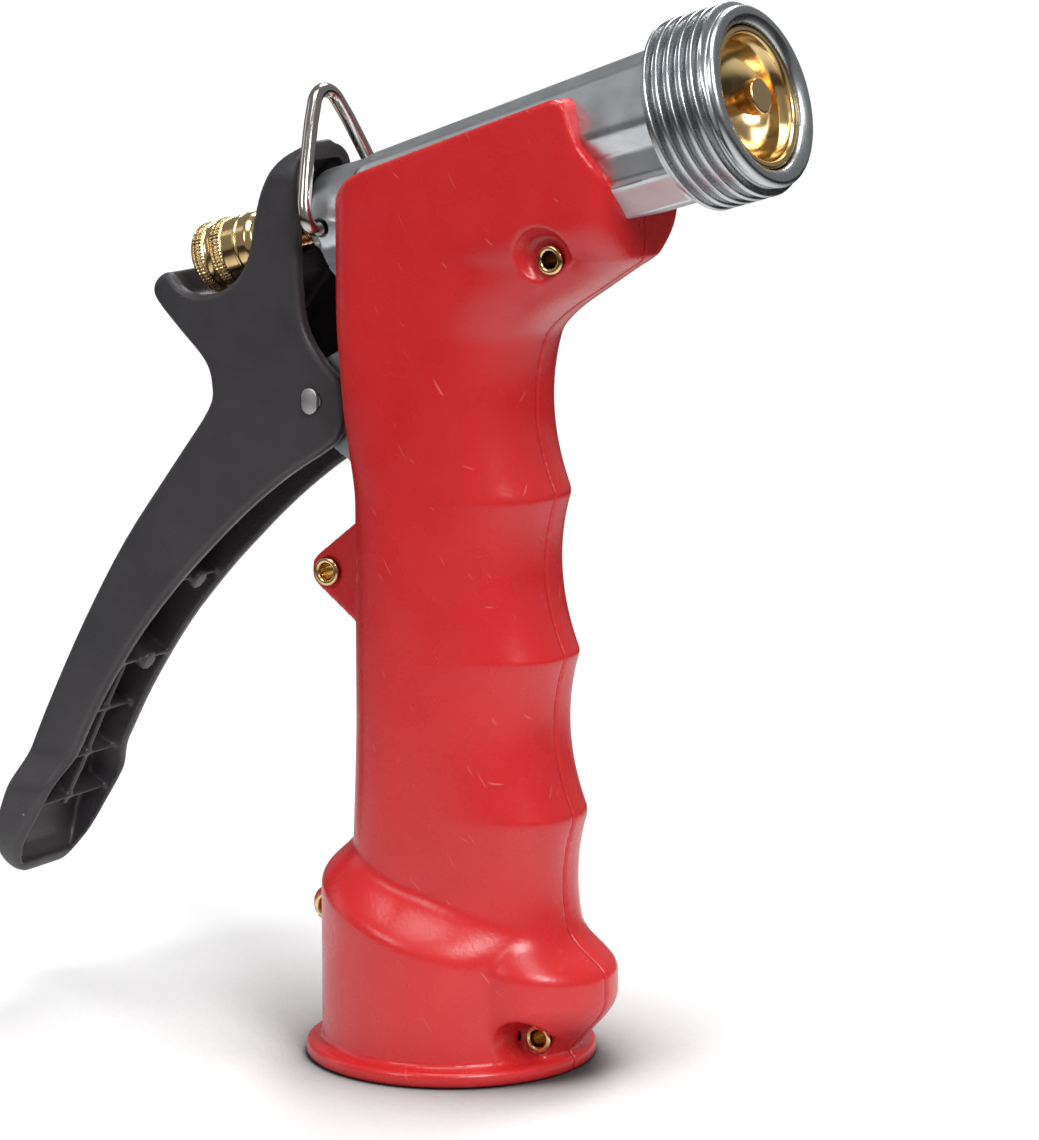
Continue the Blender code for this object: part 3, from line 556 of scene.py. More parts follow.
def metal(name):
    """Bare or plated metal: streaks along one direction, uneven polish and painted shade in the hollows.
    """
    colour, dark, rough, stretch, hollow_shade = METALS[name]
    look = Look(name)
    cloud = look.spread(look.noise(90.0), 0.3, 0.7)
    streak = look.noise(1.0, 3.0, stretch)
    tone = look.mix(look.times(cloud, 0.4), colour, dark)
    tone = look.mix(look.spread(streak, 0.55, 0.80, 0.0, 0.25), tone, dark)
    # Painted shade: the hollows are darkened towards near-black, by each metal's share.
    tone = look.mix(look.edges(0.42, 0.49, hollow_shade, 0.0), tone, (0.10, 0.095, 0.09))
    polish = look.spread(look.noise(260.0, 3.0), 0.25, 0.75, rough * 0.85, rough * 1.2)
    polish = look.combine("ADD", polish, look.spread(streak, 0.5, 0.8, 0.0, 0.08))
    fine = look.bump(look.noise(1900.0, 3.0), 0.025, 0.00015)
    lines = look.bump(streak, 0.02, 0.0002, fine)
    return look.finish(Base_Color=tone, Metallic=1.0, Roughness=polish, Normal=lines)


def black_rubber():
    """Matt rubber with a slightly dusty surface."""
    look = Look("black_rubber")
    dust = look.spread(look.noise(500.0, 4.0), 0.4, 0.8)
    colour = look.mix(dust, (0.018, 0.018, 0.018), (0.045, 0.043, 0.042))
    grain = look.bump(look.noise(2200.0), 0.3, 0.0002)
    return look.finish(Base_Color=colour, Roughness=look.spread(dust, 0.0, 1.0, 0.62, 0.85), Normal=grain)


# ---------------------------------------------------------------- grip shells

def handle_front(height):
    """Front of the handle in the symmetry plane, with its finger scallops."""
    crest_line = 17.3 + (80.8 - height) * 0.067
    top_crest = FIRST_CREST + 3.0 * FINGER_PITCH
    if height <= top_crest:
        phase = (height - FIRST_CREST) / FINGER_PITCH
        along = 2.0 * (phase - math.floor(phase)) - 1.0
        return crest_line - FINGER_DEPTH * (1.0 - along * along)
    rise = smoothstep((height - top_crest) / 7.0) * 0.5 + 0.5 * min(1.0, (height - top_crest) / 12.0)
    return min(HEAD_FRONT, 15.8 + (height - top_crest) * 1.42 * (0.62 + 0.38 * rise))


def handle_rear(height):
    """Distance from the handle's axis to its back face."""
    return 12.4 + 0.8 * smoothstep((50.0 - height) / 25.0) + 0.4 * smoothstep((height - 95.0) / 12.0)


def handle_point(height, angle):
    """A point of the handle's rounded section."""
    rear_power = 2.5 + 3.5 * smoothstep((height - 78.0) / 26.0)
    front_power = 2.5 + 5.0 * smoothstep((height - 113.0) / 8.0)
    power = front_power if math.cos(angle) > 0.0 else rear_power
    reach = handle_front(height) if math.cos(angle) > 0.0 else handle_rear(height)
    along = math.copysign(abs(math.cos(angle)) ** (2.0 / power), math.cos(angle))
    across = math.copysign(abs(math.sin(angle)) ** (2.0 / power), math.sin(angle))
    return (reach * along, HANDLE_HALF_WIDTH * across)


def skirt_point(height, angle):
    """A point of the round skirt, with the toe that bulges towards the front."""
    toe_radius = 12.0
    swell = smoothstep(height / 11.0) * smoothstep((26.0 - height) / 12.0)
    toe_centre = SKIRT_RADIUS - toe_radius + 7.2 * swell
    radius = SKIRT_RADIUS
    under_root = toe_radius ** 2 - (toe_centre * math.sin(angle)) ** 2
    if math.cos(angle) > 0.0 and under_root > 0.0:
        radius = max(radius, toe_centre * math.cos(angle) + math.sqrt(under_root))
    return (radius * math.cos(angle), radius * math.sin(angle))


def grip_half_ring(height, count=72):
    """The right half of the grip's outline at a height, closed along the seam."""
    ring = []
    for index in range(count + 1):
        angle = -math.pi * index / count
        shoulder = 19.6 - 5.9 * math.cos(angle)
        blend = smoothstep((height - shoulder) / 6.5)
        low = skirt_point(height, angle)
        high = handle_point(height, angle)
        x = low[0] + (high[0] - low[0]) * blend
        y = low[1] + (high[1] - low[1]) * blend
        ring.append((x, min(y, -SEAM), height))
    return ring


def foot_half_ring(height, radius, count=72):
    """The right half of a round ring of the foot flange."""
    ring = []
    for index in range(count + 1):
        angle = -math.pi * index / count
        ring.append((radius * math.cos(angle), min(radius * math.sin(angle), -SEAM), height))
    return ring


def grip_blank(name):
    """The outer form of the right grip shell."""
    rings = []
    for step in range(5):
        angle = 0.5 * math.pi * step / 4
        rings.append(foot_half_ring(0.7 - 0.7 * math.sin(angle + 0.5 * math.pi),
                                    FOOT_RADIUS - 0.7 + 0.7 * math.sin(angle)))
    for step in range(5):
        angle = 0.5 * math.pi * step / 4
        rings.append(foot_half_ring(FOOT_THICKNESS - 0.8 + 0.8 * math.sin(angle),
                                    FOOT_RADIUS - 0.8 + 0.8 * math.cos(angle)))
    rings[0] = foot_half_ring(0.0, FOOT_RADIUS - 0.7)
    heights = [FOOT_THICKNESS + 0.05 + step * 0.85 for step in range(164)]
    rings += [grip_half_ring(height) for height in heights]
    return loft(name, rings)


def head_cut_outline():
    """Everything above the grip's head: over its top edge and in front of its side walls."""
    top_corner = arc(on_barrel(-5.36, -4.2), 9.0, 180.0, 107.0, 18)
    front_corner = arc(on_barrel(26.2, HEAD_TOP_LINE - 1.2), 1.9, 107.0, 0.0, 10)
    return (
        [(-40.0, 116.5), (-20.0, 116.5)] + top_corner + front_corner
        + [(27.3, 130.0), (31.5, 124.6), (34.0, 120.6), (60.0, 120.6), (60.0, 160.0), (-40.0, 160.0)]
    )


def lug_outline():
    """Side outline of the lever's hinge lug."""
    round_end = arc((PIVOT.x, PIVOT.z), 5.0, 100.0, 250.0, 24)
    return round_end + [(-13.0, 83.4), (-4.0, 83.4), (-4.0, 101.0), (-12.0, 101.0)]


def gusset_outline():
    """Side outline of the web that carries the neck."""
    return [
        (-17.4, 113.6), (-15.6, 110.6), (-12.0, 107.2), (-8.0, 104.0), (-3.0, 104.0),
        (-3.0, 117.0), (-12.0, 117.0),
    ]


def inflate(outline, centre, amount):
    """Push an outline's points away from a centre by a fixed amount."""
    grown = []
    for x, z in outline:
        direction = Vector((x - centre[0], z - centre[1])).normalized()
        grown.append((x + direction.x * amount, z + direction.y * amount))
    return grown


def tab_outline(centre, radius, top_root, bottom_root):
    """Side outline of a rivet tab on the back of the grip."""
    return [top_root] + arc(centre, radius, 125.0, 235.0, 18) + [bottom_root]


def rivet_place(name):
    """The (x, z) of a rivet's axis."""
    centre = box_centre(name)
    return (centre.x - FOOT_X, centre.z)


def rivet_cutters(label):
    """The holes and pockets of the right shell's rivets."""
    cutters = []
    for rivet, (half_length, pocket, flare, depth) in RIVET_POCKETS.items():
        place = cross_frame(*rivet_place(rivet))
        hole = [(0.0, -30.0), (RIVET_HOLE, -30.0), (RIVET_HOLE, 5.0), (0.0, 5.0)]
        cutters.append(turned(label + rivet + "_hole", hole, place, 32))
        if pocket:
            mouth = pocket + flare
            sink = [
                (0.0, -28.0), (mouth, -28.0), (mouth, -half_length - depth), (pocket, -half_length - 0.6),
                (pocket - 0.5, -half_length), (0.0, -half_length)]
            cutters.append(turned(label + rivet + "_pocket", sink, place, 48))
    return cutters


def barrel_cut(name, grow):
    """The barrel's outer form, grown all round, to make room for it in the grip."""
    rings = []
    for station in (BARREL_REAR - 14.0, 14.35, THREAD_START + 6.0):
        rings.append(barrel_ring(station, grow))
    return loft(name, rings)


def grip_cutters(label):
    """Everything that is hollowed out of the right shell."""
    cavity = [
        (0.0, -2.0), (SOCKET_RADIUS + GRIP_GAP, -2.0),
        (SOCKET_RADIUS + GRIP_GAP, SOCKET_HEIGHT + GRIP_GAP),
        (TUBE_RADIUS + GRIP_GAP, SOCKET_HEIGHT + 9.0), (TUBE_RADIUS + GRIP_GAP, 119.0), (0.0, 119.0),
    ]
    relief = [(-22.0, 104.0), (-22.0, 81.3), (-11.9, 81.3), (-11.9, 104.0)]
    pivot = (PIVOT.x, PIVOT.z)
    return rivet_cutters(label) + [
        turned(label + "cavity", cavity, foot_frame, 72),
        slab(label + "top", head_cut_outline(), -40.0, 5.0),
        slab(label + "lug", inflate(lug_outline(), pivot, 0.5), -LUG_HALF_WIDTH - GRIP_GAP, 5.0),
        slab(label + "relief", relief, -8.0, 5.0),
        slab(label + "gusset", inflate(gusset_outline(), (-9.0, 111.0), 0.5),
             -GUSSET_HALF_WIDTH - GRIP_GAP, 5.0),
        barrel_cut(label + "barrel", -1.0),
    ]


def build_grips(material):
    """The right shell, and the left one as its mirror image."""
    right = cut(grip_blank("grip_shell_right"), grip_cutters("grip_"))
    tabs = []
    places = (
        ("back", tab_outline((-18.3, 67.5), 2.9, (-9.8, 78.0), (-9.8, 57.5))),
        ("foot", tab_outline((-18.6, 19.3), 2.8, (-10.0, 26.5), (-12.0, 12.0))),
    )
    for label, outline in places:
        tab = slab("tab_" + label, outline, -TAB_HALF_WIDTH, -SEAM)
        tabs.append(cut(tab, rivet_cutters("tab_" + label)))
    merge(right, tabs)
    soften(right, GRIP_VOXEL, 3)
    left = right.copy()
    left.data = right.data.copy()
    left.name = "grip_shell_left"
    bpy.context.scene.collection.objects.link(left)
    left.data.transform(Matrix.Scale(-1.0, 4, SIDEWAYS))
    left.data.flip_normals()
    finish_piece(right, material, "nozzle_body", "grip_right")
    finish_piece(left, material, "nozzle_body", "grip_left")


# ---------------------------------------------------------------- barrel casting

def barrel_section(station, grow):
    """Size of the barrel's section at a station: half width, height above and depth below the axis."""
    run = (station - BARREL_REAR) / (THREAD_START - BARREL_REAR)
    side = BARREL_SIDE_REAR + (BARREL_SIDE_FRONT - BARREL_SIDE_REAR) * run + grow
    top = BARREL_TOP_REAR + (BARREL_TOP_FRONT - BARREL_TOP_REAR) * run + grow
    return side, top, BARREL_BOTTOM + grow


def ring_from_half(half, station):
    """A closed ring at a station from its right half, as (side, lift) from the bottom up."""
    point = BARREL_ORIGIN + AXIS * station
    right = [point + UP * lift + SIDEWAYS * side for side, lift in half]
    return right + [point + UP * lift - SIDEWAYS * side for side, lift in reversed(half)]


def barrel_ring(station, grow):
    """The barrel's plain faceted section."""
    side, top, bottom = barrel_section(station, grow)
    return ring_from_half([
        (0.46 * side, -bottom), (0.90 * side, -0.48 * bottom), (0.94 * side, -0.9), (side, 0.0),
        (side, 0.13 * top), (0.72 * side, 0.80 * top), (0.34 * side, top)], station)


def barrel_detail_ring(station):
    """The barrel's section with its ridge and the sunk panel below it."""
    side, top, bottom = barrel_section(station, 0.0)
    sink = 0.65 * smoothstep((station - 27.0) / 2.2)
    shrink = 1.0
    if station < BARREL_REAR + 3.0:
        u = (BARREL_REAR + 3.0 - station) / 3.0
        shrink = 1.0 - 0.17 * (1.0 - math.sqrt(max(0.0, 1.0 - u * u)))
    half = [
        (0.44 * side, -bottom), (0.50 * side, -0.985 * bottom), (0.83 * side, -0.66 * bottom),
        (0.86 * side, -0.61 * bottom), (0.88 * side - sink, -0.57 * bottom),
        (0.93 * side - sink, -0.23 * bottom), (0.94 * side - 0.6 * sink, -0.20 * bottom),
        (0.985 * side, -0.25), (side, 0.1), (side, 0.12 * top), (0.985 * side, 0.17 * top),
        (0.74 * side, 0.77 * top), (0.70 * side, 0.82 * top), (0.37 * side, 0.985 * top),
        (0.33 * side, top), (0.12 * side, top),
    ]
    return ring_from_half([(s * shrink, lift * shrink) for s, lift in half], station)


def barrel_bore_profile():
    """Outline of the stepped bore, rear to front."""
    return [
        (0.0, NECK_REAR - 2.0), (4.0, NECK_REAR - 2.0), (4.0, -12.4), (2.3, -12.4), (2.3, -9.0),
        (5.4, -9.0), (5.4, 26.0), (7.4, 28.0), (7.4, 36.8), (9.3, 36.8), (9.3, THREAD_START + 6.0),
        (0.0, THREAD_START + 6.0),
    ]


def build_barrel(material):
    """Barrel, neck, gusset and hinge lug, softened like a polished casting."""
    stations = [BARREL_REAR + 0.25 * step for step in range(13)]
    stations += [BARREL_REAR + 3.0 + 1.2 * step for step in range(1, 41)]
    barrel = loft("barrel_casting", [barrel_detail_ring(s) for s in stations if s < THREAD_START + 1.0])
    neck = round_corners([
        (0.0, NECK_REAR), (NECK_RADIUS, NECK_REAR), (NECK_RADIUS, BARREL_REAR + 3.0),
        (0.0, BARREL_REAR + 3.0)], 0.9)
    extras = [
        turned("neck", neck, barrel_frame, 64),
        slab("lug", lug_outline(), -LUG_HALF_WIDTH, LUG_HALF_WIDTH),
        slab("gusset", gusset_outline(), -GUSSET_HALF_WIDTH, GUSSET_HALF_WIDTH),
        turned("tube_top", [(0.0, 78.0), (TUBE_RADIUS, 78.0), (TUBE_RADIUS, 118.0), (0.0, 118.0)],
               foot_frame, 64),
    ]
    merge(barrel, extras)
    soften(barrel, BARREL_VOXEL, 1)
    hinge = cross_frame(PIVOT.x, PIVOT.z)
    bail = cross_frame(BAIL_HINGE.x, BAIL_HINGE.z)
    cutters = [
        turned("bore", barrel_bore_profile(), barrel_frame, 48),
        turned("pin_hole", [(0.0, -9.0), (1.4, -9.0), (1.4, 9.0), (0.0, 9.0)], hinge, 32),
        turned("bail_hole_right", [(0.0, -9.0), (1.35, -9.0), (1.35, -5.4), (0.0, -5.4)], bail, 32),
        turned("bail_hole_left", [(0.0, 5.4), (1.35, 5.4), (1.35, 9.0), (0.0, 9.0)], bail, 32),
    ]
    cut(barrel, cutters)
    barrel.data.shade_smooth()
    barrel.data.set_sharp_from_angle(angle=math.radians(50.0))
    finish_piece(barrel, material, "nozzle_body", "body_casting")


def thread_tooth(phase):
    """Height of a rounded thread tooth, from 0 in the root to 1 on the crest."""
    wave = 0.5 + 0.5 * math.cos(math.tau * phase)
    return smoothstep(wave * 1.25 - 0.08)


def outlet_radius(station, angle):
    """Outer radius of the outlet: a helical thread that fades out at both ends."""
    first_crest = OUTLET_FACE - 1.8
    turn = (first_crest - station) / THREAD_PITCH - angle / math.tau
    fade = smoothstep((first_crest + 0.6 - station) / 0.9) * smoothstep((station - THREAD_START) / 0.9)
    return THREAD_ROOT + (THREAD_RADIUS - THREAD_ROOT) * thread_tooth(turn) * fade


def build_outlet(material):
    """The threaded outlet with its rounded rim."""
    steps = 144
    inner = [(9.35, THREAD_START), (9.35, THREAD_START + 0.6), (OUTLET_BORE - 0.1, THREAD_START + 0.8)]
    inner += [(OUTLET_BORE, OUTLET_FACE - 1.3)]
    inner += [(OUTLET_BORE + 0.9 * (1.0 - math.cos(a)), OUTLET_FACE - 0.9 + 0.9 * math.sin(a) - 0.35)
              for a in (0.25, 0.55, 0.85, 1.15)]
    inner += [(OUTLET_BORE + 0.95, OUTLET_FACE - 0.05), (OUTLET_BORE + 1.2, OUTLET_FACE)]
    lip = [(RIM_RADIUS - 0.9 + 0.9 * math.sin(a), OUTLET_FACE - 0.9 + 0.9 * math.cos(a))
           for a in (0.0, 0.26, 0.52, 0.79, 1.05, 1.31, 1.57)]
    rows = [axis_ring(radius, station, steps) for radius, station in inner + lip]
    count = 96
    top = OUTLET_FACE - 1.0
    for step in range(count + 1):
        station = top + (THREAD_START - top) * step / count
        rows.append(axis_ring(partial(outlet_radius, station), station, steps))
    outlet = loft("outlet_thread", rows, True, 60.0)
    finish_piece(outlet, material, "nozzle_body")


def build_handle_tube(material):
    """The waterway inside the grip and the threaded inlet socket at its foot."""
    outer = [
        (SOCKET_BORE + 1.1, SOCKET_LIFT), (SOCKET_RADIUS, SOCKET_LIFT), (SOCKET_RADIUS, SOCKET_HEIGHT),
        (TUBE_RADIUS, SOCKET_HEIGHT + 9.0), (TUBE_RADIUS, 110.0), (5.2, 110.0), (6.0, SOCKET_HEIGHT),
        (SOCKET_BORE, SOCKET_HEIGHT), (SOCKET_BORE, 11.5),
    ]
    profile = round_corners(outer, 0.5)
    turns = 5
    for index in range(turns):
        crest = 10.6 - index * THREAD_PITCH
        profile += [(SOCKET_BORE, crest), (SOCKET_BORE + 0.9, crest - 0.75),
                    (SOCKET_BORE + 0.9, crest - 1.0), (SOCKET_BORE, crest - 1.6)]
    tube = turned("handle_waterway", profile, foot_frame, 96)
    finish_piece(tube, material, "nozzle_body")


# ---------------------------------------------------------------- lever

LEVER_OUTLINE = [
    (-20.6, 127.0), (-22.8, 126.3), (-25.0, 124.0), (-26.8, 120.6), (-27.9, 116.6),
    (-28.9, 111.8), (-31.0, 108.2), (-34.4, 106.1), (-38.0, 105.6), (-40.6, 106.5),
    (-42.6, 108.4), (-44.5, 107.5), (-45.2, 105.8), (-44.3, 104.0),
    (-40.6, 100.3), (-36.6, 96.4), (-35.4, 93.2), (-36.0, 89.6),
    (-41.8, 81.7), (-50.9, 69.4), (-58.4, 56.9), (-64.9, 44.4), (-69.2, 35.2), (-71.9, 29.2),
    (-73.3, 25.0), (-73.5, 21.4), (-72.8, 18.4), (-71.4, 17.7),
    (-70.0, 20.2), (-67.8, 24.2), (-64.2, 30.0), (-60.3, 37.0), (-55.6, 45.6), (-49.0, 55.4),
    (-42.2, 63.4),
    (-36.4, 69.3), (-29.6, 75.6), (-22.4, 81.2), (-15.6, 85.6),
    (-13.6, 88.0), (-13.0, 91.0), (-13.6, 94.8), (-16.6, 97.9), (-19.1, 101.4), (-20.2, 106.0),
    (-20.6, 116.0),
]
CHANNEL_BACK = [(-40.0, 80.5), (-49.0, 68.3), (-56.4, 56.0), (-62.8, 43.6), (-67.4, 34.2), (-70.6, 28.4)]


def hood_arch(height, spring, rise):
    """How far the hood's side has come in where its top rounds over, from the spring line up."""
    climb = min(1.0, max(0.0, (height - spring) / rise))
    return rise * (1.0 - math.sqrt(1.0 - climb * climb))


def paddle_share(height):
    """0 above the paddle and 1 in it."""
    return smoothstep((PADDLE_TOP - height) / PADDLE_BLEND)


def paddle_flare(height):
    """How much wider the lever is at its paddle, whose end is round like a spoon's."""
    flare = (PADDLE_HALF_WIDTH - LEVER_HALF_WIDTH) * paddle_share(height)
    fall = min(0.97, max(0.0, (PADDLE_ROUNDING - height) / PADDLE_END))
    return flare - PADDLE_HALF_WIDTH * (1.0 - math.sqrt(1.0 - fall * fall))


def tip_rounding(height):
    """How many times larger the lever's edge rounding is towards its spoon-like tip."""
    return 1.0 + 0.4 * smoothstep((34.0 - height) / 10.0)


def lever_half_width(height):
    """Half width of the lever."""
    return LEVER_HALF_WIDTH + paddle_flare(height) - hood_arch(height, HOOD_SPRING, HOOD_ARCH)


def channel_half_width(height):
    """Half width of the hollow inside the lever, whose roof is an arch under the hood's."""
    inner_arch = hood_arch(height, HOOD_SPRING, HOOD_ARCH - LEVER_WALL)
    wall = LEVER_WALL - (LEVER_WALL - PADDLE_WALL) * paddle_share(height)
    return LEVER_HALF_WIDTH - wall + paddle_flare(height) - inner_arch


def channel_outline():
    """Hollow of the lever: open towards the handle, closed by the hood, the push wall and the back."""
    return [
        (-15.0, 125.0), (-22.0, 125.0), (-24.0, 123.0), on_barrel(PUSH_STATION, 6.5),
        on_barrel(PUSH_STATION, -5.5), (-29.5, 101.0), (-34.3, 95.5), (-33.3, 93.0), (-33.9, 89.0),
    ] + CHANNEL_BACK + [
        (-71.8, 24.8), (-72.0, 21.8), (-71.3, 19.5), (-66.0, 18.0), (-57.0, 30.0), (-50.0, 47.0),
        (-36.0, 63.0),
        (-20.0, 78.0), (-8.0, 84.0), (-8.0, 100.0), (-15.0, 106.0)]


def nut_notch_outline():
    """Room for the flow nut behind the push wall, whose face carries the rounded push pads."""
    pad = []
    for step in range(15):
        angle = math.radians(51.0 - 102.0 * step / 14)
        pad.append(on_barrel(PUSH_STATION - 3.5 * math.cos(angle), 3.5 * math.sin(angle)))
    return (
        [on_barrel(PUSH_STATION - 2.2, 12.0)] + pad + [on_barrel(PUSH_STATION - 2.2, -6.2)]
        + [(-28.0, 104.4), (-39.6, 103.9), (-41.8, 105.0), (-48.0, 118.0), (-40.0, 130.0)]
    )


def back_wall(height):
    """Point of the channel's back wall at a height, with the direction away from it."""
    for upper, lower in zip(CHANNEL_BACK, CHANNEL_BACK[1:]):
        if upper[1] >= height >= lower[1]:
            share = (upper[1] - height) / (upper[1] - lower[1])
            point = Vector(upper).lerp(Vector(lower), share)
            along = (Vector(lower) - Vector(upper)).normalized()
            return point, along, Vector((-along.y, along.x))
    raise ValueError("no back wall at this height")


def cross_rib(name, height, reach, pad_reach=0.0):
    """A web across the channel; a pad_reach adds the round ejector pad in its middle."""
    point, along, out = back_wall(height)
    half = 0.45
    outline = []
    for side, depth in ((-half, -0.6), (half, -0.6), (half * 0.7, reach), (-half * 0.7, reach)):
        spot = point + along * side + out * depth
        outline.append((spot.x, spot.y))
    width = lever_half_width(height) - 0.7 * LEVER_WALL
    parts = [slab(name, outline, -width, width)]
    if pad_reach:
        centre = point + out * (pad_reach - 1.4)
        out3 = Vector((out.x, 0.0, out.y))
        along3 = Vector((along.x, 0.0, along.y))

        def place(radius, angle, station):
            return (Vector((centre.x, 0.0, centre.y)) + out3 * station
                    + along3 * (radius * math.cos(angle)) + SIDEWAYS * (radius * math.sin(angle)))
        pad = [(0.0, -4.0), (1.45, -4.0), (1.5, 1.2), (0.0, 1.2)]
        parts.append(turned(name + "_pad", pad, place, 32))
    return parts


def long_rib(name):
    """The rib along the middle of the channel's back wall."""
    near, far = [], []
    for step in range(12):
        height = 62.0 - 33.0 * step / 11
        point, _along, out = back_wall(height)
        near.append(tuple(point + out * 3.4))
        far.append(tuple(point - out * 0.6))
    return slab(name, near + list(reversed(far)), -0.45, 0.45)


def build_lever(material):
    """The moulded lever with its hood, channel, ribs and paddle."""
    shares = (0.0, 0.2, 0.35, 0.5, 0.62, 0.73, 0.82, 0.89, 0.945, 0.98)
    paddle_levels = [17.5 + step for step in range(21)]
    hood_levels = [HOOD_SPRING + HOOD_ARCH * share for share in shares]
    roof_levels = [HOOD_SPRING + (HOOD_ARCH - LEVER_WALL) * share for share in shares]
    lever = rounded_prism("trigger_lever", smooth_outline(LEVER_OUTLINE), lever_half_width,
                          paddle_levels + hood_levels, LEVER_EDGE, 6, tip_rounding)
    channel = rounded_prism("channel", channel_outline(), channel_half_width, paddle_levels + roof_levels)
    slot_outline = [
        on_barrel(PUSH_STATION + 4.0, 4.6), on_barrel(PUSH_STATION - 8.0, 4.6),
        on_barrel(PUSH_STATION - 8.0, -3.0), on_barrel(PUSH_STATION + 4.0, -3.0),
    ]
    hinge = cross_frame(PIVOT.x, PIVOT.z)
    cutters = [
        channel,
        slab("nut_notch", nut_notch_outline(), -5.4, 5.4),
        slab("stem_slot", slot_outline, -2.5, 2.5),
        turned("pin_hole", [(0.0, -12.0), (1.38, -12.0), (1.38, 12.0), (0.0, 12.0)], hinge, 32),
    ]
    cut(lever, cutters)
    ribs = [long_rib("long_rib")]
    for height in (44.4, 37.2, 30.4):
        ribs += cross_rib("cross_rib", height, 3.7)
    for height, reach in ((67.5, 8.4), (53.6, 7.0)):
        ribs += cross_rib("web", height, reach * 0.86, reach)
    merge(lever, ribs)
    soften(lever, LEVER_VOXEL, 2)
    finish_piece(lever, material, "lever", "lever")


def build_pin(material):
    """The hinge pin with its flattened heads."""
    hinge = cross_frame(PIVOT.x, PIVOT.z)
    outline = [(0.0, -7.2), (PIN_RADIUS, -7.2), (PIN_RADIUS, 7.2), (0.0, 7.2)]
    shaft = turned("hinge_pin", outline, hinge, 48)
    heads = []
    for side in (-1.0, 1.0):
        rings = []
        for height, inset in ((7.35, 0.0), (7.62, 0.0), (7.74, 0.06), (7.8, 0.18)):
            radius = PIN_RADIUS - inset
            outline = (arc((PIVOT.x - 0.3, PIVOT.z + 0.55), radius, 0.0, 180.0, 16)
                       + arc((PIVOT.x - 0.3, PIVOT.z - 0.55), radius, 180.0, 360.0, 16))
            rings.append([(x, side * height, z) for x, z in outline])
        heads.append(loft("pin_head", rings))
    merge(shaft, heads)
    finish_piece(shaft, material, "nozzle_body", "lever_pin")


# ---------------------------------------------------------------- turned pieces

def build_rivets(material):
    """Tubular rivets with rolled rims."""
    for rivet, (half_length, _pocket, _flare, _depth) in RIVET_POCKETS.items():
        under = half_length + 0.12
        rim = [(1.55, under)]
        for step in range(9):
            angle = math.radians(-50.0 + 230.0 * step / 8)
            rim.append((1.62 + 0.42 * math.cos(angle), under + 0.36 + 0.32 * math.sin(angle)))
        rim.append((1.2, under - 0.6))
        profile = [(r, -s) for r, s in reversed(rim)] + rim
        piece = turned(rivet + "_rolled", profile, cross_frame(*rivet_place(rivet)), 64, 60.0)
        finish_piece(piece, material, "nozzle_body", rivet)


def build_insert(material):
    """The brass bowl in the outlet, with its lip, step and throat."""
    radius = OUTLET_BORE - 0.12
    bowl = [
        (9.2, 38.5), (9.2, 40.6), (radius, 40.9), (radius, 50.0), (radius - 0.15, 50.3),
        (radius - 0.4, 50.4),
        (9.0, 50.4), (8.8, 50.25), (8.65, 49.9), (8.5, 49.1), (8.2, 48.8), (8.05, 48.3), (7.8, 47.2),
        (7.2, 46.1), (6.3, 45.1), (5.3, 44.2), (4.2, 43.4), (3.4, 42.8), (3.05, 42.1), (3.0, 39.6),
        (3.4, 38.5),
    ]
    finish_piece(turned("brass_bowl", bowl, sharp_angle=50.0), material, "nozzle_body", "nozzle_insert")


def build_jet_tip(material):
    """The plug on the front of the stem, whose tip disc shows in the bowl."""
    tip = round_corners([
        (0.0, 51.0), (2.45, 51.0), (2.5, 49.6), (1.6, 47.6), (1.6, 41.2), (2.4, 39.8), (2.4, 36.1),
        (5.2, 36.1), (5.2, 34.2), (3.4, 33.4), (3.4, 29.6), (2.2, 29.6), (2.2, 33.5), (0.0, 33.5)], 0.35)
    finish_piece(turned("jet_plug", tip), material, "stem", "jet_tip")


def nut_radius(station, angle):
    """Radius of the flow nut: two beaded grip bands between smooth collars."""
    radius, waist, waist_half, shoulder = 4.95, -39.05, 0.65, -36.5
    for centre, half in ((-40.6, 0.9), (-37.45, 0.95)):
        if abs(station - centre) < half:
            rows, around = 0.9, 30
            wave = (math.cos(around * angle + math.pi * (station - centre) / rows)
                    * math.cos(around * angle - math.pi * (station - centre) / rows))
            edge = smoothstep((half - abs(station - centre)) / 0.25)
            return radius - 0.22 + edge * 0.34 * smoothstep(0.5 + 0.5 * wave)
    if abs(station - waist) <= waist_half:
        return radius - 0.2 - 0.3 * math.sqrt(max(0.0, 1.0 - ((station - waist) / waist_half) ** 2))
    if station > shoulder:
        flange = 0.22 * smoothstep((station + 34.4) / 0.15) * smoothstep((-33.8 - station) / 0.15)
        return radius - 0.3 + flange - 0.55 * smoothstep((station + 32.4) / 1.2)
    return radius - 0.2


def build_flow_nut(material):
    """The blind brass nut that sets the flow."""
    steps = 272
    dome = [(0.05, -42.4), (1.6, -42.38), (3.0, -42.28), (4.0, -42.05), (4.6, -41.75)]
    blind_hole = [(3.6, -30.75), (2.4, -30.85), (2.25, -31.2), (2.25, -41.2), (0.05, -41.3)]
    rows = [axis_ring(radius, station, steps) for radius, station in dome]
    count = 110
    for step in range(count + 1):
        station = -41.55 + 10.65 * step / count
        rows.append(axis_ring(partial(nut_radius, station), station, steps))
    rows += [axis_ring(radius, station, steps) for radius, station in blind_hole]
    nut = loft("flow_nut_knurled", rows, False, 60.0)
    finish_piece(nut, material, "flow_nut", "flow_nut")


def stem_radius(station):
    """Radius of the stem, threaded at its rear end."""
    if station > -22.0:
        return 2.0
    return 1.82 + 0.18 * math.cos(math.tau * station / 0.7)


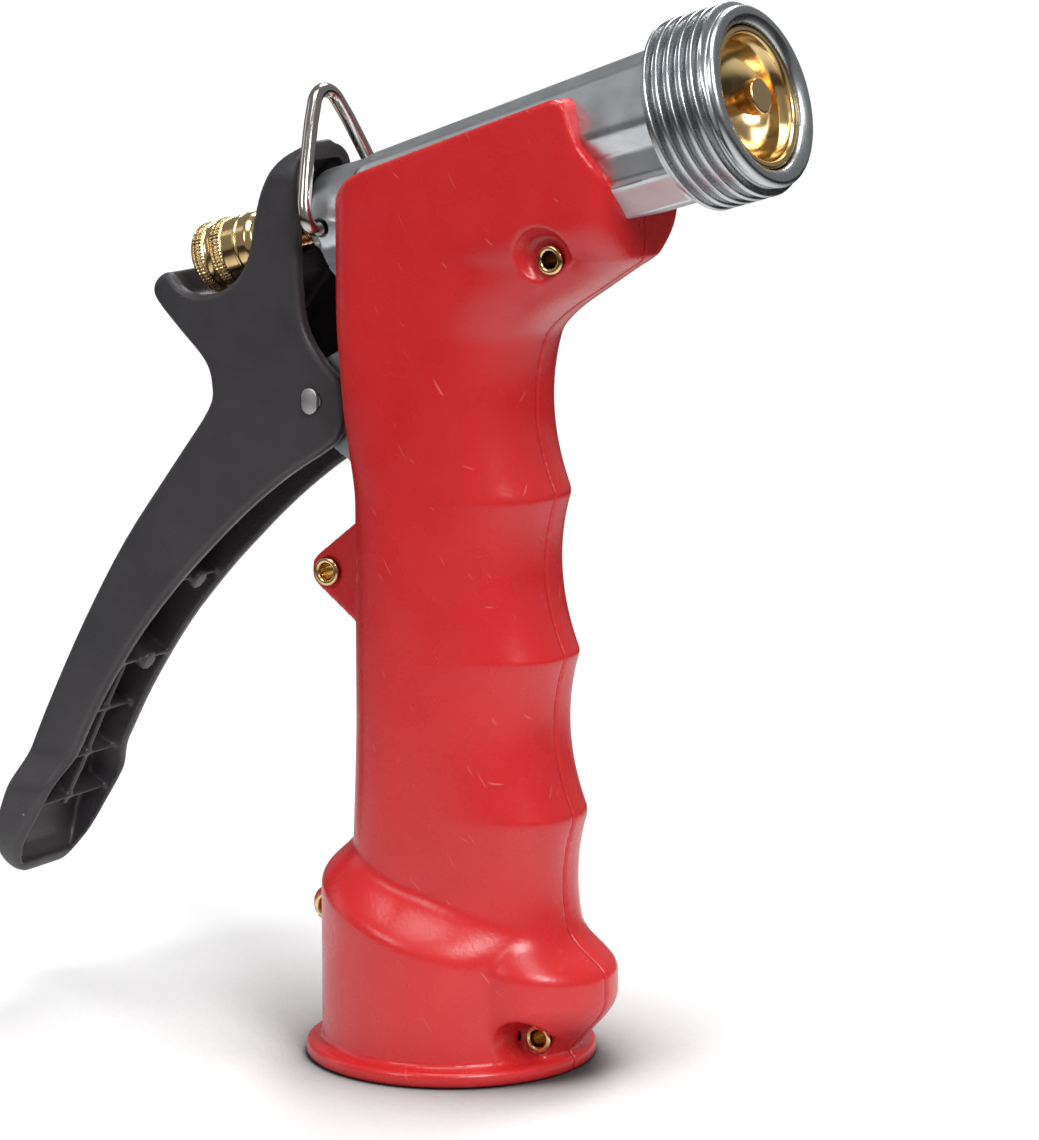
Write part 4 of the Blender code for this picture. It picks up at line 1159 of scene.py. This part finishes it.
def build_stem(material):
    """The valve stem, with the thread that carries the flow nut."""
    profile = [(0.0, -41.0), (1.7, -41.0)]
    profile += [(stem_radius(-40.8 + 0.1 * step), -40.8 + 0.1 * step) for step in range(190)]
    profile += [(2.0, -21.0), (2.0, 33.0), (0.0, 33.0)]
    finish_piece(turned("threaded_stem", profile, steps=32), material, "stem", "valve_stem")


def build_spring(material):
    """The return spring about the stem."""
    turns, coil, thickness = 7, 3.9, 0.55
    low, high = -8.6 + thickness, 12.15 - thickness
    steps = turns * 32
    path = [barrel_frame(coil, -math.tau * turns * i / steps, low + (high - low) * i / steps)
            for i in range(steps + 1)]
    spring = wire("coil_spring", path, thickness, 12)
    finish_piece(spring, material, "nozzle_body", "return_spring")
    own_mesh(spring)


def build_rings(brass_finish, rubber, steel):
    """Washers, packing and collars: (piece, node, body, finish, inner, outer, low, high, edge)."""
    table = (
        ("insert_seal", "insert_gasket", "nozzle_body", rubber, 8.0, 9.2, 37.2, 38.3, 0.2),
        ("seat_disc", "seat_washer", "stem", rubber, 2.65, 5.0, 36.3, 38.25, 0.25),
        ("collar", "spring_collar", "stem", steel, 2.2, 4.9, 12.4, 13.4, 0.2),
        ("clip", "collar_clip", "stem", steel, 2.15, 3.6, 13.6, 14.3, 0.15),
        ("backing_washer", "packing_washer", "nozzle_body", brass_finish, 2.3, 3.75, -13.2, -12.6, 0.1),
        ("packing_ring", "stem_packing", "nozzle_body", rubber, 2.2, 3.75, -15.5, -13.4, 0.3),
        ("thrust_washer", "nut_washer", "nut_washer", steel, 2.3, 4.6, -30.7, -29.75, 0.15),
        ("socket_washer", "inlet_washer", "nozzle_body", rubber, 7.5, SOCKET_BORE - GRIP_GAP, 11.2,
         SOCKET_HEIGHT - GRIP_GAP, 0.4),
    )
    for name, node, body, finish, inner, outer, low, high, edge in table:
        middle = 0.5 * (inner + outer)
        profile = round_corners([
            (middle, low), (outer, low), (outer, high), (inner, high), (inner, low), (middle - 0.01, low),
        ], edge)
        upright = node == "inlet_washer"
        ring = turned(name, profile, foot_frame if upright else barrel_frame, 96 if upright else 64)
        finish_piece(ring, finish, body, node)


def hexagon_radius(share, angle):
    """Radius of a share of the gland's hexagon at an angle, with rounded corners."""
    sector = math.radians(60.0)
    return min(4.3 / math.cos((angle % sector) - 0.5 * sector), 4.85) * share


def build_gland(material):
    """The gland nut that holds the packing."""
    steps = 96
    head = [(0.93, -21.4), (1.0, -21.1), (1.0, -19.5), (0.95, -19.2)]
    sleeve = [(3.75, -19.1), (3.75, -15.8), (2.4, -15.7), (2.3, -16.0), (2.3, -21.3)]
    rows = [axis_ring(partial(hexagon_radius, share), station, steps) for share, station in head]
    rows += [axis_ring(radius, station, steps) for radius, station in sleeve]
    finish_piece(loft("packing_gland", rows, True), material, "nozzle_body", "gland_nut")


# ---------------------------------------------------------------- bail

def bail_half():
    """Half of the wire's centre line as (side, reach) points, from the foot to the apex."""
    length, apex = 18.75, 3.4
    bend = []
    for step in range(1, 9):
        turn = 0.5 * math.pi * step / 8
        bend.append((8.4 + 1.8 * math.sin(turn), 1.8 * (1.0 - math.cos(turn))))
    leg = [(10.05, 2.7), (9.9, 3.6), (8.6, 6.6), (7.2, 9.5), (5.8, 12.2), (4.5, 14.6)]
    crown = []
    for step in range(1, 9):
        angle = math.radians(18.0 + 72.0 * step / 9)
        crown.append((apex * math.cos(angle), length - apex + apex * math.sin(angle)))
    return [(5.9, 0.0), (7.2, 0.0), (8.4, 0.0)] + bend + leg + crown


def build_bail(material):
    """The bright wire bail."""
    lean = math.radians(12.6)
    half = bail_half()
    flat = [(-side, reach) for side, reach in half] + [(0.0, 18.75)] + [
        (side, reach) for side, reach in reversed(half)]
    path = [BAIL_HINGE + Vector((-reach * math.sin(lean), side, reach * math.cos(lean)))
            for side, reach in flat]
    finish_piece(wire("bail_wire", path, BAIL_WIRE_RADIUS, 24), material, "bail", "bail")


# ---------------------------------------------------------------- stage

def build_floor():
    """A plain pale floor that glows white to the camera further out, with a painted contact shadow under
    the object.
    """
    mesh_edit = bmesh.new()
    bmesh.ops.create_circle(mesh_edit, cap_ends=True, segments=64, radius=4.0)
    mesh = bpy.data.meshes.new("floor")
    mesh_edit.to_mesh(mesh)
    mesh_edit.free()
    floor = bpy.data.objects.new("floor", mesh)
    bpy.context.scene.collection.objects.link(floor)
    look = Look("pale_floor")
    tone = look.spread(look.noise(3.0), 0.3, 0.7, 0.93, 0.95)
    distance = look.add("ShaderNodeVectorMath", {"operation": "LENGTH"}, Vector=look.place)
    glow = look.spread(distance.outputs["Value"], 0.08, 0.35)
    pale = look.times(tone, look.combine("SUBTRACT", 1.0, glow))
    # Painted contact shadow: the floor's colour darkens where the object shuts out the surroundings.
    contact_shadow_ao = look.add("ShaderNodeAmbientOcclusion", {"samples": 12}, Distance=0.06).outputs["AO"]
    pale = look.times(pale, look.spread(contact_shadow_ao, 0.50, 0.96, 0.05, 1.0))
    colour = look.add("ShaderNodeCombineColor", Red=pale, Green=pale, Blue=pale).outputs["Color"]
    seen = look.add("ShaderNodeLightPath").outputs["Is Camera Ray"]
    mesh.materials.append(look.finish(
        Base_Color=colour, Roughness=0.8, Emission_Color=(1.0, 1.0, 1.0),
        Emission_Strength=look.times(glow, seen)))


def direction(azimuth, elevation):
    """Unit vector at an azimuth and elevation in degrees; azimuth 0 is on the -Y side."""
    across, up = math.radians(azimuth), math.radians(elevation)
    return Vector((math.sin(across) * math.cos(up), -math.cos(across) * math.cos(up), math.sin(up)))


def area_light(name, azimuth, elevation, distance, size, power, aim):
    """A soft light that faces a point."""
    light = bpy.data.lights.new(name, "AREA")
    light.shape = "RECTANGLE"
    light.size, light.size_y = size
    light.energy = power
    item = bpy.data.objects.new(name, light)
    bpy.context.scene.collection.objects.link(item)
    away = direction(azimuth, elevation)
    item.location = aim + away * distance
    item.rotation_euler = (-away).to_track_quat("-Z", "Y").to_euler()


def build_lights():
    """Soft studio light from all sides, brightest from the front right and from above."""
    aim = Vector((FOOT_X * MM, 0.0, 0.075))
    for name, azimuth, elevation, distance, size, power in (
            ("key", 58.0, 40.0, 0.9, (0.25, 0.35), 5.6),
            ("front_fill", -15.0, 35.0, 0.9, (0.3, 0.4), 1.7),
            ("left_fill", -75.0, 15.0, 1.1, (0.3, 0.9), 0.8),
            ("top", 40.0, 80.0, 0.9, (0.5, 0.5), 3.8),
            ("back", 195.0, 48.0, 1.0, (0.35, 0.35), 4.5)):
        area_light(name, azimuth, elevation, distance, size, power, aim)
    world = bpy.data.worlds.new("studio")
    bpy.context.scene.world = world
    world.use_nodes = True
    background = world.node_tree.nodes["Background"]
    background.inputs["Color"].default_value = (1.0, 1.0, 1.0, 1.0)
    background.inputs["Strength"].default_value = 0.26
    bpy.context.scene.view_settings.view_transform = "Standard"


def build_camera():
    """The camera, to the front right of the object and a little above it."""
    centre = Vector((FOOT_X, 0.0, 70.0))
    aim = Vector((FOOT_X + 8.2, 5.0, 68.9))
    place = centre + direction(32.47, 10.25) * 700.0
    camera = bpy.data.cameras.new("camera")
    camera.lens = 159.2
    camera.sensor_width = 36.0
    item = bpy.data.objects.new("camera", camera)
    bpy.context.scene.collection.objects.link(item)
    item.location = place * MM
    item.rotation_euler = (aim - place).to_track_quat("-Z", "Y").to_euler()
    bpy.context.scene.camera = item


def build_object():
    """Every piece, with its material."""
    red, black, rubber = red_plastic(), black_nylon(), black_rubber()
    zinc, gold, steel = metal("cast_zinc"), metal("brass"), metal("grey_steel")
    build_grips(red)
    build_barrel(zinc)
    build_outlet(metal("turned_zinc"))
    build_handle_tube(zinc)
    build_lever(black)
    build_pin(steel)
    build_rivets(gold)
    build_insert(gold)
    build_jet_tip(gold)
    build_flow_nut(gold)
    build_stem(gold)
    build_spring(steel)
    build_rings(gold, rubber, steel)
    build_gland(steel)
    build_bail(metal("nickel_wire"))


build_object()
build_floor()
build_lights()
build_camera()
